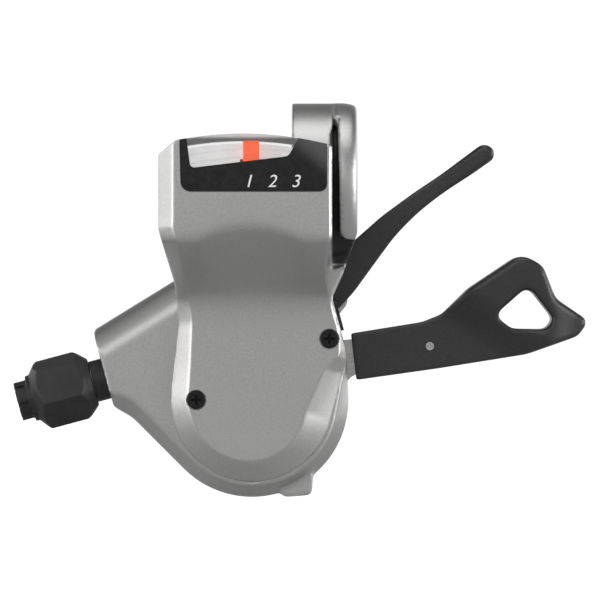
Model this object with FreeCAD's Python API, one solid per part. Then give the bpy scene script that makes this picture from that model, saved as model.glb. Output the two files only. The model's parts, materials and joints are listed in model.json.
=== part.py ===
import FreeCAD, Part
import math
import os
from FreeCAD import Rotation, Vector

os.makedirs("parts", exist_ok=True)

# A left-hand trigger shifter for a flat handlebar, in millimetres.
# X runs along the handlebar, outboard, towards the two levers.
# Z is up, the clamp is at the top and the round mechanism body hangs below it.
# Y is the depth: the face with the gear window looks along -Y.
# The origin is the centre of the handlebar clamp.

# ---- fits -------------------------------------------------------------------
RUN = 0.05            # radial running fit of a shaft in a hole
SLIP = 0.15           # easy fit of one still piece in another
AIR = 0.35            # air between pieces that move past each other

# ---- handlebar clamp ----------------------------------------------------------
BAR_BORE = 22.3       # clamp bore for a 22.2 mm bar
BAND_OUTER = 29.8     # outside diameter of the clamp band
BAND_HALF = 5.9       # half the width of the band along the bar
RIB_EDGE = 1.8        # where the full-height rib of the band starts
BAND_SETBACK = 1.5    # how far the low side of the band sits back
SLIT = 1.0            # gap between the two clamp ears
EAR_LOW = 0.8         # underside of the lower ear
EAR_THICK = 4.2       # thickness of the lower ear
EAR_UPPER = 3.4       # thickness of the upper ear
EAR_REACH = 21.8      # how far the ears stand out behind the bar axis
BOLT_OUT = 17.2       # clamp bolt axis behind the bar axis
BOLT_SHANK = 5.0
BOLT_HEAD = 8.5
BOLT_HEAD_HIGH = 4.9

# ---- body: the axle and the depth of each layer --------------------------------
AXLE_X = -13.1
AXLE_Z = -38.9
AXLE_RADIUS = 3.0
FACE_Y = -2.0         # front face of the cast body, where the top cover seats
FLOOR_Y = 8.0         # inside of the body floor
BACK_Y = 9.6          # back of the body floor
BODY_RADIUS = 17.5    # round body, at its widest
RIM_RADIUS = 15.3     # round body, at its front rim
FLARE_Y = 2.6         # depth where the flared side wall reaches full width
WELL_RADIUS = 12.2    # well that holds the drum
WING_TOP = 9.0        # wing end face, above the cable line
WING_LOW = 5.3        # wing end face, below the cable line
WING_RIM_LOW = 2.7    # the same at the front rim

# ---- cable line ------------------------------------------------------------------
CABLE_Y = 3.0
CABLE_ANGLE = 15.0    # rise of the cable line towards +X
GROOVE_RADIUS = 10.7  # cable centre on the drum
WING_REACH = 24.5     # from the point where the cable meets the drum to the wing end
CABLE_BORE = 2.2

# ---- top cover -----------------------------------------------------------------
COVER_WALL = 1.6
COVER_FLAT_Y = -5.0   # front of the low part of the cover
DISPLAY_Y = -21.0     # front of the gear display
DISPLAY_LEFT = -29.7  # inboard side of the gear display
COVER_SEAM = 14.6     # radius of the round seam on the body
COVER_BEVEL = 11.0    # radius of the flat inside the bevel
SLOPE_TOP = -8.2      # where the display ends and the slope starts
SLOPE_END = -19.2     # where the slope reaches the low flat
SADDLE_GAP = 0.5      # air between the cover and the clamp band
FACET = 2.8           # bevel along the inboard side of the display
SCREW_A = (0.9, -27.7)
SCREW_B = (-23.1, -38.7)
COVER_SCREW_HEAD = 3.3
COVER_SCREW_SHANK = 2.0

# ---- gear display ----------------------------------------------------------------
BEZEL_DEEP = 0.9
LENS_DEEP = 1.3
LENS_WRAP = 3.6       # how far the lens turns over the top edge
DIAL_Y = -17.3
DIAL_THICK = 0.7
TRAY_THICK = 1.1
NEEDLE_Y = -18.9
NEEDLE_THICK = 0.6
ARM_THICK = 0.75
ARM_TAIL_Y = -3.1

# ---- drum and ratchet ----------------------------------------------------------
TEETH = 14
DRUM_RADIUS = 11.6
DRUM_FRONT = 0.1
DRUM_BACK = 5.7
RATCHET_RADIUS = 11.2
TOOTH_DEPTH = 1.5
RATCHET_THICK = 1.4
BUSH_RADIUS = 4.0
CRANK_RADIUS = 8.2    # crank pin that drives the needle
CRANK_PIN = 1.8
PIVOT_HEIGHT = 20.8   # needle pivot above the axle
PLATE_FRONT = -1.4
PLATE_THICK = 1.0

# ---- levers -------------------------------------------------------------------------
MAIN_FRONT = 12.8
MAIN_THICK = 1.8
RELEASE_FRONT = 15.8
RELEASE_THICK = 1.5
HUB_RADIUS = 8.5
SLEEVE_RADIUS = 3.8
SLEEVE_END = 17.8
RELEASE_SWING = 10.0
NUT_FLATS = 8.0
NUT_THICK = 3.0
LOWER_RADIUS = 17.2   # black cover over the lever hubs
LOWER_BACK = 22.2
LOWER_WALL = 1.3
PAWL_ARM = 13.4       # radius of the drive pawl's pivot
HOLD_ARM = 14.6       # radius of the holding pawl's pivot
HOLD_ANGLE = 62.0
DRIVE_ANGLE = 205.0
FINGER_ARM = 17.7     # radius of the release finger
FINGER_ANGLE = 50.0

# ---- barrel adjuster, measured outwards from the wing end -------------------------
NECK_RADIUS = 3.75
NECK_LENGTH = 2.35
HEX_RADIUS = 6.5
HEX_START = 4.7
HEX_END = 11.6
BARREL_END = 16.5
TIP_RADIUS = 3.5
STUD_RADIUS = 2.5
STUD_DEPTH = 11.5
SOCKET_RADIUS = 2.55  # for a 5 mm cable ferrule
SOCKET_DEPTH = 7.0

# ---- cable port, opposite the adjuster ---------------------------------------------
PORT_RADIUS = 2.1
PORT_HEAD = 2.7
PORT_DEPTH = 18.0     # from the point where the cable meets the drum to the plug's seat


# ============================== drawing helpers ==============================
def outline(corners, level, inset=0.0, upright=False):
    """A closed wire of straight runs and rounded corners.

    Each corner is (u, v, radius). The wire lies at Y = level with u along X,
    or, if upright, at X = level with u along Y. An inset moves every side in.
    """
    count = len(corners)
    points = [Vector(u, v, 0) for u, v, radius in corners]
    ahead = [(points[(i + 1) % count] - points[i]).normalize() for i in range(count)]
    area = sum(points[i].x * points[(i + 1) % count].y - points[(i + 1) % count].x * points[i].y
               for i in range(count))
    side = 1.0 if area > 0 else -1.0
    inward = [Vector(-d.y, d.x, 0) * side for d in ahead]
    starts, arcs, ends = [], [], []
    for i in range(count):
        before, after = ahead[i - 1], ahead[i]
        n1, n2 = inward[i - 1], inward[i]
        corner = points[i] + (n1 + n2) * (inset / (1.0 + n1.dot(n2)))
        convex = (before.x * after.y - before.y * after.x) * side > 0
        radius = corners[i][2]
        if radius > 0:
            radius = max(radius - inset, 0.0) if convex else radius + inset
        if radius < 0.02:
            starts.append(corner)
            arcs.append(None)
            ends.append(corner)
            continue
        turn = before.getAngle(after)
        reach = radius * math.tan(turn / 2.0)
        first = corner - before * reach
        centre = first + n1 * (radius if convex else -radius)
        middle = centre + (corner - centre).normalize() * radius
        starts.append(first)
        arcs.append(middle)
        ends.append(corner + after * reach)

    def lift(p):
        return Vector(level, p.x, p.y) if upright else Vector(p.x, level, p.y)

    edges = []
    for i in range(count):
        if arcs[i] is not None:
            edges.append(Part.Arc(lift(starts[i]), lift(arcs[i]), lift(ends[i])).toShape())
        following = starts[(i + 1) % count]
        if ends[i].distanceToPoint(following) > 1e-4:
            edges.append(Part.LineSegment(lift(ends[i]), lift(following)).toShape())
    return Part.Wire(edges)


def plate(corners, y0, y1, inset=0.0):
    """A flat piece with the given outline, from depth y0 to depth y1."""
    face = Part.Face(outline(corners, y0, inset))
    return face.extrude(Vector(0, y1 - y0, 0))


def side_block(corners, x0, x1, inset=0.0):
    """A block whose outline is given in (Y, Z), from x0 to x1."""
    face = Part.Face(outline(corners, x0, inset, True))
    return face.extrude(Vector(x1 - x0, 0, 0))


def flared(front, back, y0, y1, inset=0.0):
    """A block that grows evenly from one outline to another."""
    return Part.makeLoft([outline(front, y0, inset), outline(back, y1, inset)], True, True)


def disc(centre, radius, y0, y1, bore=0.0):
    """A round piece about an axis along Y, with an optional bore."""
    low, high = min(y0, y1), max(y0, y1)
    start = Vector(centre[0], low, centre[1])
    body = Part.makeCylinder(radius, high - low, start, Vector(0, 1, 0))
    if bore > 0:
        body = body.cut(Part.makeCylinder(bore, high - low, start, Vector(0, 1, 0)))
    return body


def cone(centre, r0, r1, y0, y1):
    """A round tapered piece about an axis along Y, from y0 to y1."""
    return Part.makeCone(r0, r1, y1 - y0, Vector(centre[0], y0, centre[1]), Vector(0, 1, 0))


def polar(radius, degrees):
    """A point at a radius and angle about the main axle."""
    a = math.radians(degrees)
    return (AXLE_X + radius * math.cos(a), AXLE_Z + radius * math.sin(a))


def sector(r0, r1, a0, a1, y0, y1):
    """Part of a ring about the main axle, between two angles."""
    def spot(radius, degrees):
        x, z = polar(radius, degrees)
        return Vector(x, y0, z)
    middle = (a0 + a1) / 2.0
    edges = [
        Part.Arc(spot(r1, a0), spot(r1, middle), spot(r1, a1)).toShape(),
        Part.LineSegment(spot(r1, a1), spot(r0, a1)).toShape(),
        Part.Arc(spot(r0, a1), spot(r0, middle), spot(r0, a0)).toShape(),
        Part.LineSegment(spot(r0, a0), spot(r1, a0)).toShape(),
    ]
    return Part.Face(Part.Wire(edges)).extrude(Vector(0, y1 - y0, 0))


def bar(start, end, half, y0, y1):
    """A link with round ends, from one point to another."""
    dx, dz = end[0] - start[0], end[1] - start[1]
    length = math.hypot(dx, dz)
    nx, nz = -dz / length * half, dx / length * half
    corners = [(start[0] + nx, start[1] + nz, 0), (start[0] - nx, start[1] - nz, 0),
               (end[0] - nx, end[1] - nz, 0), (end[0] + nx, end[1] + nz, 0)]
    body = plate(corners, y0, y1)
    return body.fuse([disc(start, half, y0, y1), disc(end, half, y0, y1)])


def hexagon(centre, corner_radius, y0, y1):
    """A six-sided piece about an axis along Y."""
    corners = [(centre[0] + corner_radius * math.cos(math.radians(60 * i)),
                centre[1] + corner_radius * math.sin(math.radians(60 * i)), 0) for i in range(6)]
    return plate(corners, y0, y1)


def cross_recess(centre, half, width, y0, y1):
    """The cut of a cross-head screwdriver."""
    long_way = Part.makeBox(2 * half, y1 - y0, width,
                            Vector(centre[0] - half, y0, centre[1] - width / 2.0))
    other_way = Part.makeBox(width, y1 - y0, 2 * half,
                             Vector(centre[0] - width / 2.0, y0, centre[1] - half))
    return long_way.fuse(other_way)


def coil(centre, radius, wire, turns, y0, y1):
    """A round-wire spring about an axis along Y."""
    length = (y1 - y0) - wire
    helix = Part.makeHelix(length / turns, length, radius)
    ring = Part.Wire(Part.makeCircle(wire / 2.0, Vector(radius, 0, 0), Vector(0, 1, 0)))
    body = Part.Wire(helix.Edges).makePipeShell([ring], True, True)
    body.rotate(Vector(0, 0, 0), Vector(1, 0, 0), -90)
    body.translate(Vector(centre[0], y0 + wire / 2.0, centre[1]))
    return body


def join(shapes):
    """One solid from pieces that overlap."""
    body = shapes[0].fuse(shapes[1:]) if len(shapes) > 1 else shapes[0]
    return body.removeSplitter()


def save(node, solids):
    """Write one node, made of one or more separate solids."""
    shape = solids[0] if len(solids) == 1 else Part.makeCompound(solids)
    count = len(shape.Solids)
    if count != len(solids) or not shape.isValid():
        raise ValueError(node + " is not made of sound solids: " + str(count))
    shape.exportStep("parts/" + node + ".step")
    box = shape.BoundBox
    print("%-24s %d solid(s) %9.1f mm3  X %.1f..%.1f Y %.1f..%.1f Z %.1f..%.1f" % (
        node, count, shape.Volume, box.XMin, box.XMax, box.YMin, box.YMax, box.ZMin, box.ZMax))


# ============================== derived places ==============================
AXLE = (AXLE_X, AXLE_Z)
CABLE_RAD = math.radians(CABLE_ANGLE)
CABLE_COS, CABLE_SIN = math.cos(CABLE_RAD), math.sin(CABLE_RAD)
CABLE_MEET = (AXLE_X - GROOVE_RADIUS * CABLE_SIN, AXLE_Z + GROOVE_RADIUS * CABLE_COS)
WING_END = (CABLE_MEET[0] - WING_REACH * CABLE_COS, CABLE_MEET[1] - WING_REACH * CABLE_SIN)
OUTWARD = Vector(-CABLE_COS, 0, -CABLE_SIN)
NEEDLE_PIVOT = (AXLE_X, AXLE_Z + PIVOT_HEIGHT)
BAND_RADIUS = BAND_OUTER / 2.0
BORE_RADIUS = BAR_BORE / 2.0
SADDLE_RADIUS = BAND_RADIUS + SADDLE_GAP
STEP_ANGLE = 360.0 / TEETH
RATCHET_BACK = DRUM_BACK + RATCHET_THICK
PLATE_BACK = PLATE_FRONT + PLATE_THICK
MAIN_BACK = MAIN_FRONT + MAIN_THICK
RELEASE_BACK = RELEASE_FRONT + RELEASE_THICK
LOWER_INSIDE = LOWER_BACK - LOWER_WALL
SLIT_LOW = EAR_LOW + EAR_THICK
SLIT_HIGH = SLIT_LOW + SLIT
EAR_TOP = SLIT_HIGH + EAR_UPPER
PORT_SEAT = -WING_REACH - PORT_DEPTH
PLATE_EARS = [50.0, 140.0, 270.0]
LOWER_SCREWS = [112.0, 250.0, 298.0]
LOWER_SCREW_ARM = 14.0
RIVETS = [20.0, 190.0, 310.0]
RIVET_ARM = 7.8
PLATE_EAR_ARM = WELL_RADIUS + 0.9
PIN_SPOT = (19.3, -29.1)
PIN_RADIUS = 0.75


def wing_corner(up):
    """A point on the wing's end face, measured square to the cable line."""
    return (WING_END[0] - up * CABLE_SIN, WING_END[1] + up * CABLE_COS)


def along_cable(distance):
    """A point on the cable line, measured outwards from the wing's end."""
    return Vector(WING_END[0], CABLE_Y, WING_END[1]) + OUTWARD * distance


def cable_rod(radius, start, end):
    """A round rod on the cable line, between two distances from the wing's end."""
    low = min(start, end)
    return Part.makeCylinder(radius, abs(end - start), along_cable(low), OUTWARD)


def cup(radius, left_turn, left_z, right_turn, right_z, blend):
    """The round lower end of an outline: its four corners, left side first."""
    low = AXLE_Z - radius
    left = AXLE_X - radius * math.tan(math.radians(left_turn) / 2.0)
    right = AXLE_X + radius * math.tan(math.radians(right_turn) / 2.0)
    left_x = left - (left_z - low) / math.tan(math.radians(left_turn))
    right_x = right + (right_z - low) / math.tan(math.radians(right_turn))
    return [(left_x, left_z, blend), (left, low, radius), (right, low, radius),
            (right_x, right_z, 2.0)]


def body_outline(radius, wing_low, notch_z, right_turn):
    """The cast body seen from the front: wing at the left, round below."""
    top = wing_corner(WING_TOP)
    low = wing_corner(-wing_low)
    rise = math.tan(math.radians(31.6))
    top_z = -BAND_RADIUS
    top_x = top[0] + (top_z - top[1]) / rise
    return ([(low[0], low[1], 1.0)]
            + cup(radius, 45.0, notch_z, right_turn, -31.5, 5.0)
            + [(3.5, -28.0, 2.0), (1.4, -20.4, 1.0), (3.5, -15.7, 0.4), (3.5, top_z, 0.4),
               (top_x, top_z, 1.0), (top[0], top[1], 0.8)])


BODY_FRONT = body_outline(RIM_RADIUS, WING_RIM_LOW, -38.8, 78.0)
BODY_WIDE = body_outline(BODY_RADIUS, WING_LOW, -42.0, 93.0)


def cover_outline(lower):
    """The top cover seen from the front; lower holds the corners of its round end."""
    return lower + [(3.45, -28.0, 1.5), (2.0, -23.5, 2.0), (0.5, -17.0, 3.0), (0.5, -14.2, 3.0),
                    (1.3, -9.5, 2.0), (1.3, 6.9, 0.6), (-13.0, 10.0, 60.0), (-26.4, 7.8, 0.6),
                    (DISPLAY_LEFT, 5.3, 0.6), (DISPLAY_LEFT, -8.0, 4.0), (-27.0, -17.5, 6.0)]


COVER_BASE = cover_outline(cup(COVER_SEAM, 96.2, -25.0, 75.0, -31.5, 6.0))
COVER_TOP = cover_outline(cup(COVER_BEVEL, 90.0, -25.0, 67.0, -31.0, 3.0))
COVER_FRONT = [(DISPLAY_Y, 14.0, 0), (DISPLAY_Y, SLOPE_TOP, 3.0), (COVER_FLAT_Y, SLOPE_END, 5.0),
               (COVER_FLAT_Y, -58.0, 0), (6.0, -58.0, 0), (6.0, 14.0, 0)]
BEZEL = [(-26.0, 14.0, 0), (-25.6, -1.4, 1.8), (0.4, -1.4, 1.4), (0.4, 14.0, 0)]
WINDOW = [(-25.4, 14.0, 0), (-23.9, 2.8, 0.8), (-6.5, 4.9, 1.2), (-1.3, 14.0, 0)]


# ============================== body ==============================
def clamp_band():
    """The band round the handlebar, with a full-height rib at its outboard side."""
    rib = Part.makeCylinder(BAND_RADIUS, BAND_HALF - RIB_EDGE, Vector(RIB_EDGE, 0, 0), Vector(1, 0, 0))
    rib = rib.makeFillet(0.7, [e for e in rib.Edges if abs(e.BoundBox.XMin - BAND_HALF) < 1e-3
                               and e.BoundBox.XLength < 1e-3])
    low_side = Part.makeCylinder(BAND_RADIUS, RIB_EDGE + BAND_HALF, Vector(-BAND_HALF, 0, 0),
                                 Vector(1, 0, 0))
    set_back = Part.makeCylinder(BAND_RADIUS, RIB_EDGE + BAND_HALF,
                                 Vector(-BAND_HALF, BAND_SETBACK, 0), Vector(1, 0, 0))
    band = rib.fuse(low_side.common(set_back))
    corner = [(BAND_HALF, -8.6, 0), (3.5, -15.8, 0), (3.5, -16.2, 0), (9.0, -16.2, 0), (9.0, -8.6, 0)]
    return band.cut(plate(corner, -BAND_OUTER, BAND_OUTER))


def clamp_ears():
    """The two ears behind the band that the clamp bolt pulls together."""
    ears = [(6.0, EAR_LOW, 0), (EAR_REACH, EAR_LOW, 2.0), (EAR_REACH, EAR_TOP, 2.0), (6.0, EAR_TOP, 0)]
    return side_block(ears, -BAND_HALF, BAND_HALF)


def lug():
    """The small cast foot low on the outboard side."""
    corners = [(-1.0, -49.0, 0), (-1.9, -51.7, 1.0), (-2.3, -56.0, 0.9), (-7.4, -56.4, 1.5),
               (-10.0, -53.0, 0)]
    return plate(corners, 1.0, BACK_Y)


def pawl_pockets():
    """Room behind the drum for both pawls, and their windows in the floor."""
    front = DRUM_BACK - AIR
    drive = sector(10.5, PAWL_ARM + 2.1, 138.0, 218.0, front, BACK_Y)
    hold = sector(10.5, HOLD_ARM + 4.3, 30.0, 78.0, front, FLOOR_Y)
    finger = sector(FINGER_ARM - 1.4, FINGER_ARM + 1.4, FINGER_ANGLE - 6.0,
                    FINGER_ANGLE + RELEASE_SWING + 6.0, front, BACK_Y)
    return [drive, hold, finger]


def front_plate_outline(inset):
    """The round steel plate in front of the drum, with its three fixing ears."""
    front, back = PLATE_FRONT, PLATE_BACK
    if inset < 0:
        front = FACE_Y
    body = disc(AXLE, WELL_RADIUS - SLIP - inset, front, back)
    ears = [disc(polar(PLATE_EAR_ARM, a), 1.3 - inset, front, back) for a in PLATE_EARS]
    return join([body] + ears)


def clamp_bracket():
    """The casting that everything is built on: band, web, wing and round body."""
    shell = flared(BODY_FRONT, BODY_WIDE, FACE_Y, FLARE_Y)
    shell = shell.fuse(plate(BODY_WIDE, FLARE_Y, BACK_Y))
    web = Part.makeBox(BAND_HALF + 3.5, BACK_Y - FACE_Y, 6.0, Vector(-BAND_HALF, FACE_Y, -BAND_RADIUS - 1.0))
    body = shell.fuse([web, clamp_band(), clamp_ears(), lug()])
    cuts = [
        Part.makeCylinder(BORE_RADIUS, 80, Vector(-40, 0, 0), Vector(1, 0, 0)),
        Part.makeBox(40, 30, SLIT, Vector(-20, BORE_RADIUS - 4.0, SLIT_LOW)),
        Part.makeCylinder(BOLT_SHANK / 2.0 + SLIP, EAR_TOP - SLIT_LOW, Vector(0, BOLT_OUT, SLIT_LOW),
                          Vector(0, 0, 1)),
        Part.makeCylinder(BOLT_SHANK / 2.0, EAR_THICK + 1, Vector(0, BOLT_OUT, EAR_LOW - 1),
                          Vector(0, 0, 1)),
        disc(AXLE, WELL_RADIUS, FACE_Y - 1, FLOOR_Y),
        disc(AXLE, AXLE_RADIUS, FLOOR_Y - 1, BACK_Y + 1),
        front_plate_outline(-SLIP),
        cable_rod(STUD_RADIUS + RUN, -STUD_DEPTH - 0.5, 1.0),
        cable_rod(CABLE_BORE / 2.0, -WING_REACH, 1.0),
        cable_rod(NECK_RADIUS + RUN, -6.0, 1.0),
        cable_rod(PORT_RADIUS, -WING_REACH, -WING_REACH - 30.0),
        cable_rod(PORT_HEAD + SLIP, PORT_SEAT, PORT_SEAT - 8.0),
        disc(NEEDLE_PIVOT, 0.9, FACE_Y - 1, 2.0),
        disc(SCREW_A, COVER_SCREW_SHANK / 2.0, FACE_Y - 1, 4.0),
        disc(polar(HOLD_ARM, HOLD_ANGLE), 1.0, 2.6, BACK_Y),
    ]
    cuts += [disc(polar(PLATE_EAR_ARM, a), 0.6, FACE_Y - 1, 2.4) for a in PLATE_EARS]
    cuts += [disc(polar(LOWER_SCREW_ARM, a), 1.0, 4.0, BACK_Y + 1) for a in LOWER_SCREWS]
    body = body.cut(cuts + pawl_pockets())
    save("clamp_bracket", [body.removeSplitter()])


def clamp_bolt():
    """Socket-head bolt through both ears."""
    head = Part.makeCylinder(BOLT_HEAD / 2.0, BOLT_HEAD_HIGH, Vector(0, BOLT_OUT, EAR_TOP), Vector(0, 0, 1))
    head = head.makeFillet(0.5, [e for e in head.Edges if e.BoundBox.ZMin > EAR_TOP + 1])
    shank = Part.makeCylinder(BOLT_SHANK / 2.0, EAR_TOP - EAR_LOW, Vector(0, BOLT_OUT, EAR_LOW),
                              Vector(0, 0, 1))
    corners = [Vector(2.3 * math.cos(math.radians(60 * i)), BOLT_OUT + 2.3 * math.sin(math.radians(60 * i)),
                      EAR_TOP + BOLT_HEAD_HIGH - 2.6) for i in range(7)]
    socket = Part.Face(Part.makePolygon(corners)).extrude(Vector(0, 0, 5))
    save("clamp_bolt", [join([head, shank]).cut(socket)])


# ============================== top cover and display ==============================
def cover_block(inset):
    """The solid shape of the top cover, or of its inside."""
    flat = COVER_FLAT_Y + inset
    block = flared(COVER_BASE, COVER_TOP, FACE_Y, flat, inset)
    block = block.fuse(plate(COVER_TOP, flat, DISPLAY_Y - 1, inset))
    if inset > 0:
        block = block.fuse(plate(COVER_BASE, FACE_Y, FACE_Y + 4.0, inset))
    return block.common(side_block(COVER_FRONT, -40.0, 20.0, inset))


def facet_cutter():
    """Takes the bevel off the inboard side of the display."""
    left = DISPLAY_LEFT
    corners = [Vector(left + FACET, DISPLAY_Y, -30), Vector(left, DISPLAY_Y + FACET, -30),
               Vector(left - 2, DISPLAY_Y + FACET, -30), Vector(left - 2, DISPLAY_Y - 2, -30),
               Vector(left + FACET, DISPLAY_Y - 2, -30), Vector(left + FACET, DISPLAY_Y, -30)]
    return Part.Face(Part.makePolygon(corners)).extrude(Vector(0, 0, 50))


def top_cover():
    """The silver cover over the mechanism and the gear display."""
    outer = cover_block(0.0).cut(facet_cutter())
    inner = cover_block(COVER_WALL)
    saddle = Part.makeCylinder(SADDLE_RADIUS, 80, Vector(-40, 0, 0), Vector(1, 0, 0))
    shell = outer.cut([inner, saddle])
    inside = COVER_FLAT_Y + COVER_WALL
    boss_a = disc(SCREW_A, 2.3, COVER_FLAT_Y + 0.4, FACE_Y)
    boss_b = disc(SCREW_B, 2.1, inside - 0.2, PLATE_FRONT)
    shell = shell.fuse([boss_a.common(cover_block(0.0)), boss_b])
    cuts = [plate(BEZEL, DISPLAY_Y - 1, DISPLAY_Y + BEZEL_DEEP)]
    cuts.append(plate(WINDOW, DISPLAY_Y - 1, DISPLAY_Y + LENS_WRAP, -SLIP))
    for place in (SCREW_A, SCREW_B):
        cuts.append(disc(place, COVER_SCREW_SHANK / 2.0 + SLIP, COVER_FLAT_Y - 1, 0))
        cuts.append(disc(place, COVER_SCREW_HEAD / 2.0 + SLIP, COVER_FLAT_Y - 1, COVER_FLAT_Y + 0.9))
    save("top_cover", [shell.cut(cuts).removeSplitter()])


def cover_screws():
    """Two cross-head screws: one into the casting, one into the front plate."""
    screws = []
    for place, tip in ((SCREW_A, 3.8), (SCREW_B, PLATE_BACK)):
        head = disc(place, COVER_SCREW_HEAD / 2.0, COVER_FLAT_Y - 0.1, COVER_FLAT_Y + 0.9)
        head = head.makeFillet(0.3, [e for e in head.Edges if e.BoundBox.YMax < COVER_FLAT_Y])
        shank = disc(place, COVER_SCREW_SHANK / 2.0, COVER_FLAT_Y + 0.8, tip)
        recess = cross_recess(place, 0.95, 0.4, COVER_FLAT_Y - 1, COVER_FLAT_Y + 0.6)
        screws.append(join([head, shank]).cut(recess))
    save("cover_screws", screws)


def indicator_bezel():
    """The black band round the gear window, flush with the display."""
    limit = cover_block(0.0)
    band = plate(BEZEL, DISPLAY_Y, DISPLAY_Y + BEZEL_DEEP).common(limit)
    save("indicator_bezel", [band.cut(plate(WINDOW, DISPLAY_Y - 1, DISPLAY_Y + 3))])


def indicator_lens():
    """The clear window, which turns over the top edge of the display."""
    limit = cover_block(0.0)
    front = plate(WINDOW, DISPLAY_Y, DISPLAY_Y + LENS_DEEP).common(limit)
    over = plate(WINDOW, DISPLAY_Y, DISPLAY_Y + LENS_WRAP).common(limit)
    over = over.cut(cover_block(1.0))
    save("indicator_lens", [join([front, over])])


def display_back(y0, y1, low):
    """A flat piece that fills the inside of the display, above a given height."""
    filled = plate(COVER_TOP, y0, y1, COVER_WALL + SLIP)
    above = Part.makeBox(80, 80, 40, Vector(-60, -60, low))
    return filled.common(above)


def indicator_dial():
    """The white plate behind the needle."""
    lens_room = Part.makeBox(80, 80, 40, Vector(-60, -60, 7.4))
    dial = display_back(DIAL_Y, DIAL_Y + DIAL_THICK, -0.5)
    save("indicator_dial", [dial.cut(lens_room)])


def indicator_tray():
    """The black tray that closes the display from behind."""
    back = DIAL_Y + DIAL_THICK
    tray = display_back(back, back + TRAY_THICK, -6.2)
    lens_room = Part.makeBox(80, 80, 40, Vector(-60, -60, 8.0))
    save("indicator_tray", [tray.cut(lens_room)])


def indicator_arm():
    """The cranked arm that carries the needle; its slotted tail rides on the drum."""
    px, pz = NEEDLE_PIVOT
    back = ARM_TAIL_Y + ARM_THICK
    tail = bar((px, pz), (px, pz - 13.6), 2.3, ARM_TAIL_Y, back)
    top_y = NEEDLE_Y + NEEDLE_THICK
    riser = [(back, pz - 0.5, 0), (ARM_TAIL_Y, pz - 0.5, 0), (ARM_TAIL_Y, pz + 1.9, 0.4),
             (top_y, -6.6, 1.4), (top_y, 4.4, 0), (top_y + 0.6, 4.4, 0), (top_y + 0.6, -6.3, 0.8),
             (back, pz + 2.4, 1.2)]
    lift = side_block(riser, px - 2.0, px + 2.0)
    bottom, top = PIVOT_HEIGHT - CRANK_RADIUS, math.hypot(
        CRANK_RADIUS * math.sin(math.radians(STEP_ANGLE)),
        PIVOT_HEIGHT - CRANK_RADIUS * math.cos(math.radians(STEP_ANGLE)))
    pin = CRANK_PIN / 2.0 + 0.3
    slot = bar((px, pz - bottom), (px, pz - top), pin, ARM_TAIL_Y - 1, back + 1)
    arm = join([tail, lift]).cut([slot, disc(NEEDLE_PIVOT, 0.9 + RUN, -10, 5)])
    save("indicator_arm", [arm])


def indicator_needle():
    """The orange pointer on the arm."""
    x = NEEDLE_PIVOT[0]
    corners = [(x - 1.45, 1.6, 0.2), (x + 1.45, 1.6, 0.2), (x + 1.45, 7.7, 0.2), (x - 1.45, 7.7, 0.2)]
    save("indicator_needle", [plate(corners, NEEDLE_Y, NEEDLE_Y + NEEDLE_THICK)])


def indicator_pivot():
    """Headed pin that the needle arm turns on."""
    pin = disc(NEEDLE_PIVOT, 0.9, ARM_TAIL_Y - 0.1, 2.0)
    head = disc(NEEDLE_PIVOT, 1.6, ARM_TAIL_Y - 0.5, ARM_TAIL_Y - 0.1)
    save("indicator_pivot", [join([pin, head])])


# ============================== axle, drum and pawls ==============================
def front_plate():
    """Steel plate that holds the front end of the axle."""
    slot_half = CRANK_PIN / 2.0 + 0.35
    slot = sector(CRANK_RADIUS - slot_half, CRANK_RADIUS + slot_half, 90 - STEP_ANGLE - 11,
                  90 + STEP_ANGLE + 11, PLATE_FRONT - 1, PLATE_BACK + 1)
    cuts = [slot, disc(AXLE, AXLE_RADIUS, PLATE_FRONT - 1, PLATE_BACK + 1),
            disc(SCREW_B, COVER_SCREW_SHANK / 2.0, PLATE_FRONT - 1, PLATE_BACK + 1)]
    for a in PLATE_EARS:
        spot = polar(PLATE_EAR_ARM, a)
        cuts.append(disc(spot, 0.6, PLATE_FRONT - 1, PLATE_BACK + 1))
        cuts.append(cone(spot, 1.1, 0.6, PLATE_FRONT, PLATE_FRONT + 0.5))
    save("front_plate", [front_plate_outline(0.0).cut(cuts)])


def plate_screws():
    """Three flat-head screws that fix the front plate to the casting."""
    screws = []
    for a in PLATE_EARS:
        spot = polar(PLATE_EAR_ARM, a)
        body = join([cone(spot, 1.1, 0.6, PLATE_FRONT, PLATE_FRONT + 0.5),
                     disc(spot, 0.6, PLATE_FRONT + 0.4, 2.2)])
        screws.append(body.cut(cross_recess(spot, 0.6, 0.25, PLATE_FRONT - 1, PLATE_FRONT + 0.3)))
    save("plate_screws", screws)


def pivot_axle():
    """The main axle: a headed shaft from the front plate to the nut."""
    head = disc(AXLE, 4.0, PLATE_FRONT - 0.7, PLATE_FRONT)
    shaft = disc(AXLE, AXLE_RADIUS, PLATE_FRONT - 0.2, SLEEVE_END + NUT_THICK + 0.6)
    slot = Part.makeBox(7.0, 0.5, 1.0, Vector(AXLE_X - 3.5, PLATE_FRONT - 0.7, AXLE_Z - 0.5))
    save("pivot_axle", [join([head, shaft]).cut(slot)])


def axle_nut():
    """Hex nut on the back end of the axle."""
    nut = hexagon(AXLE, NUT_FLATS / math.sqrt(3.0), SLEEVE_END, SLEEVE_END + NUT_THICK)
    nut = nut.common(cone(AXLE, 6.5, 3.8, SLEEVE_END - 2.4, SLEEVE_END + NUT_THICK + 0.1))
    save("axle_nut", [nut.cut(disc(AXLE, AXLE_RADIUS, SLEEVE_END - 1, SLEEVE_END + NUT_THICK + 1))])


def drum_bush():
    """The bush that the drum turns on."""
    save("drum_bush", [disc(AXLE, BUSH_RADIUS, PLATE_BACK, FLOOR_Y, AXLE_RADIUS)])


def lever_sleeve():
    """The sleeve that both levers turn on."""
    save("lever_sleeve", [disc(AXLE, SLEEVE_RADIUS, BACK_Y, SLEEVE_END, AXLE_RADIUS)])


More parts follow.
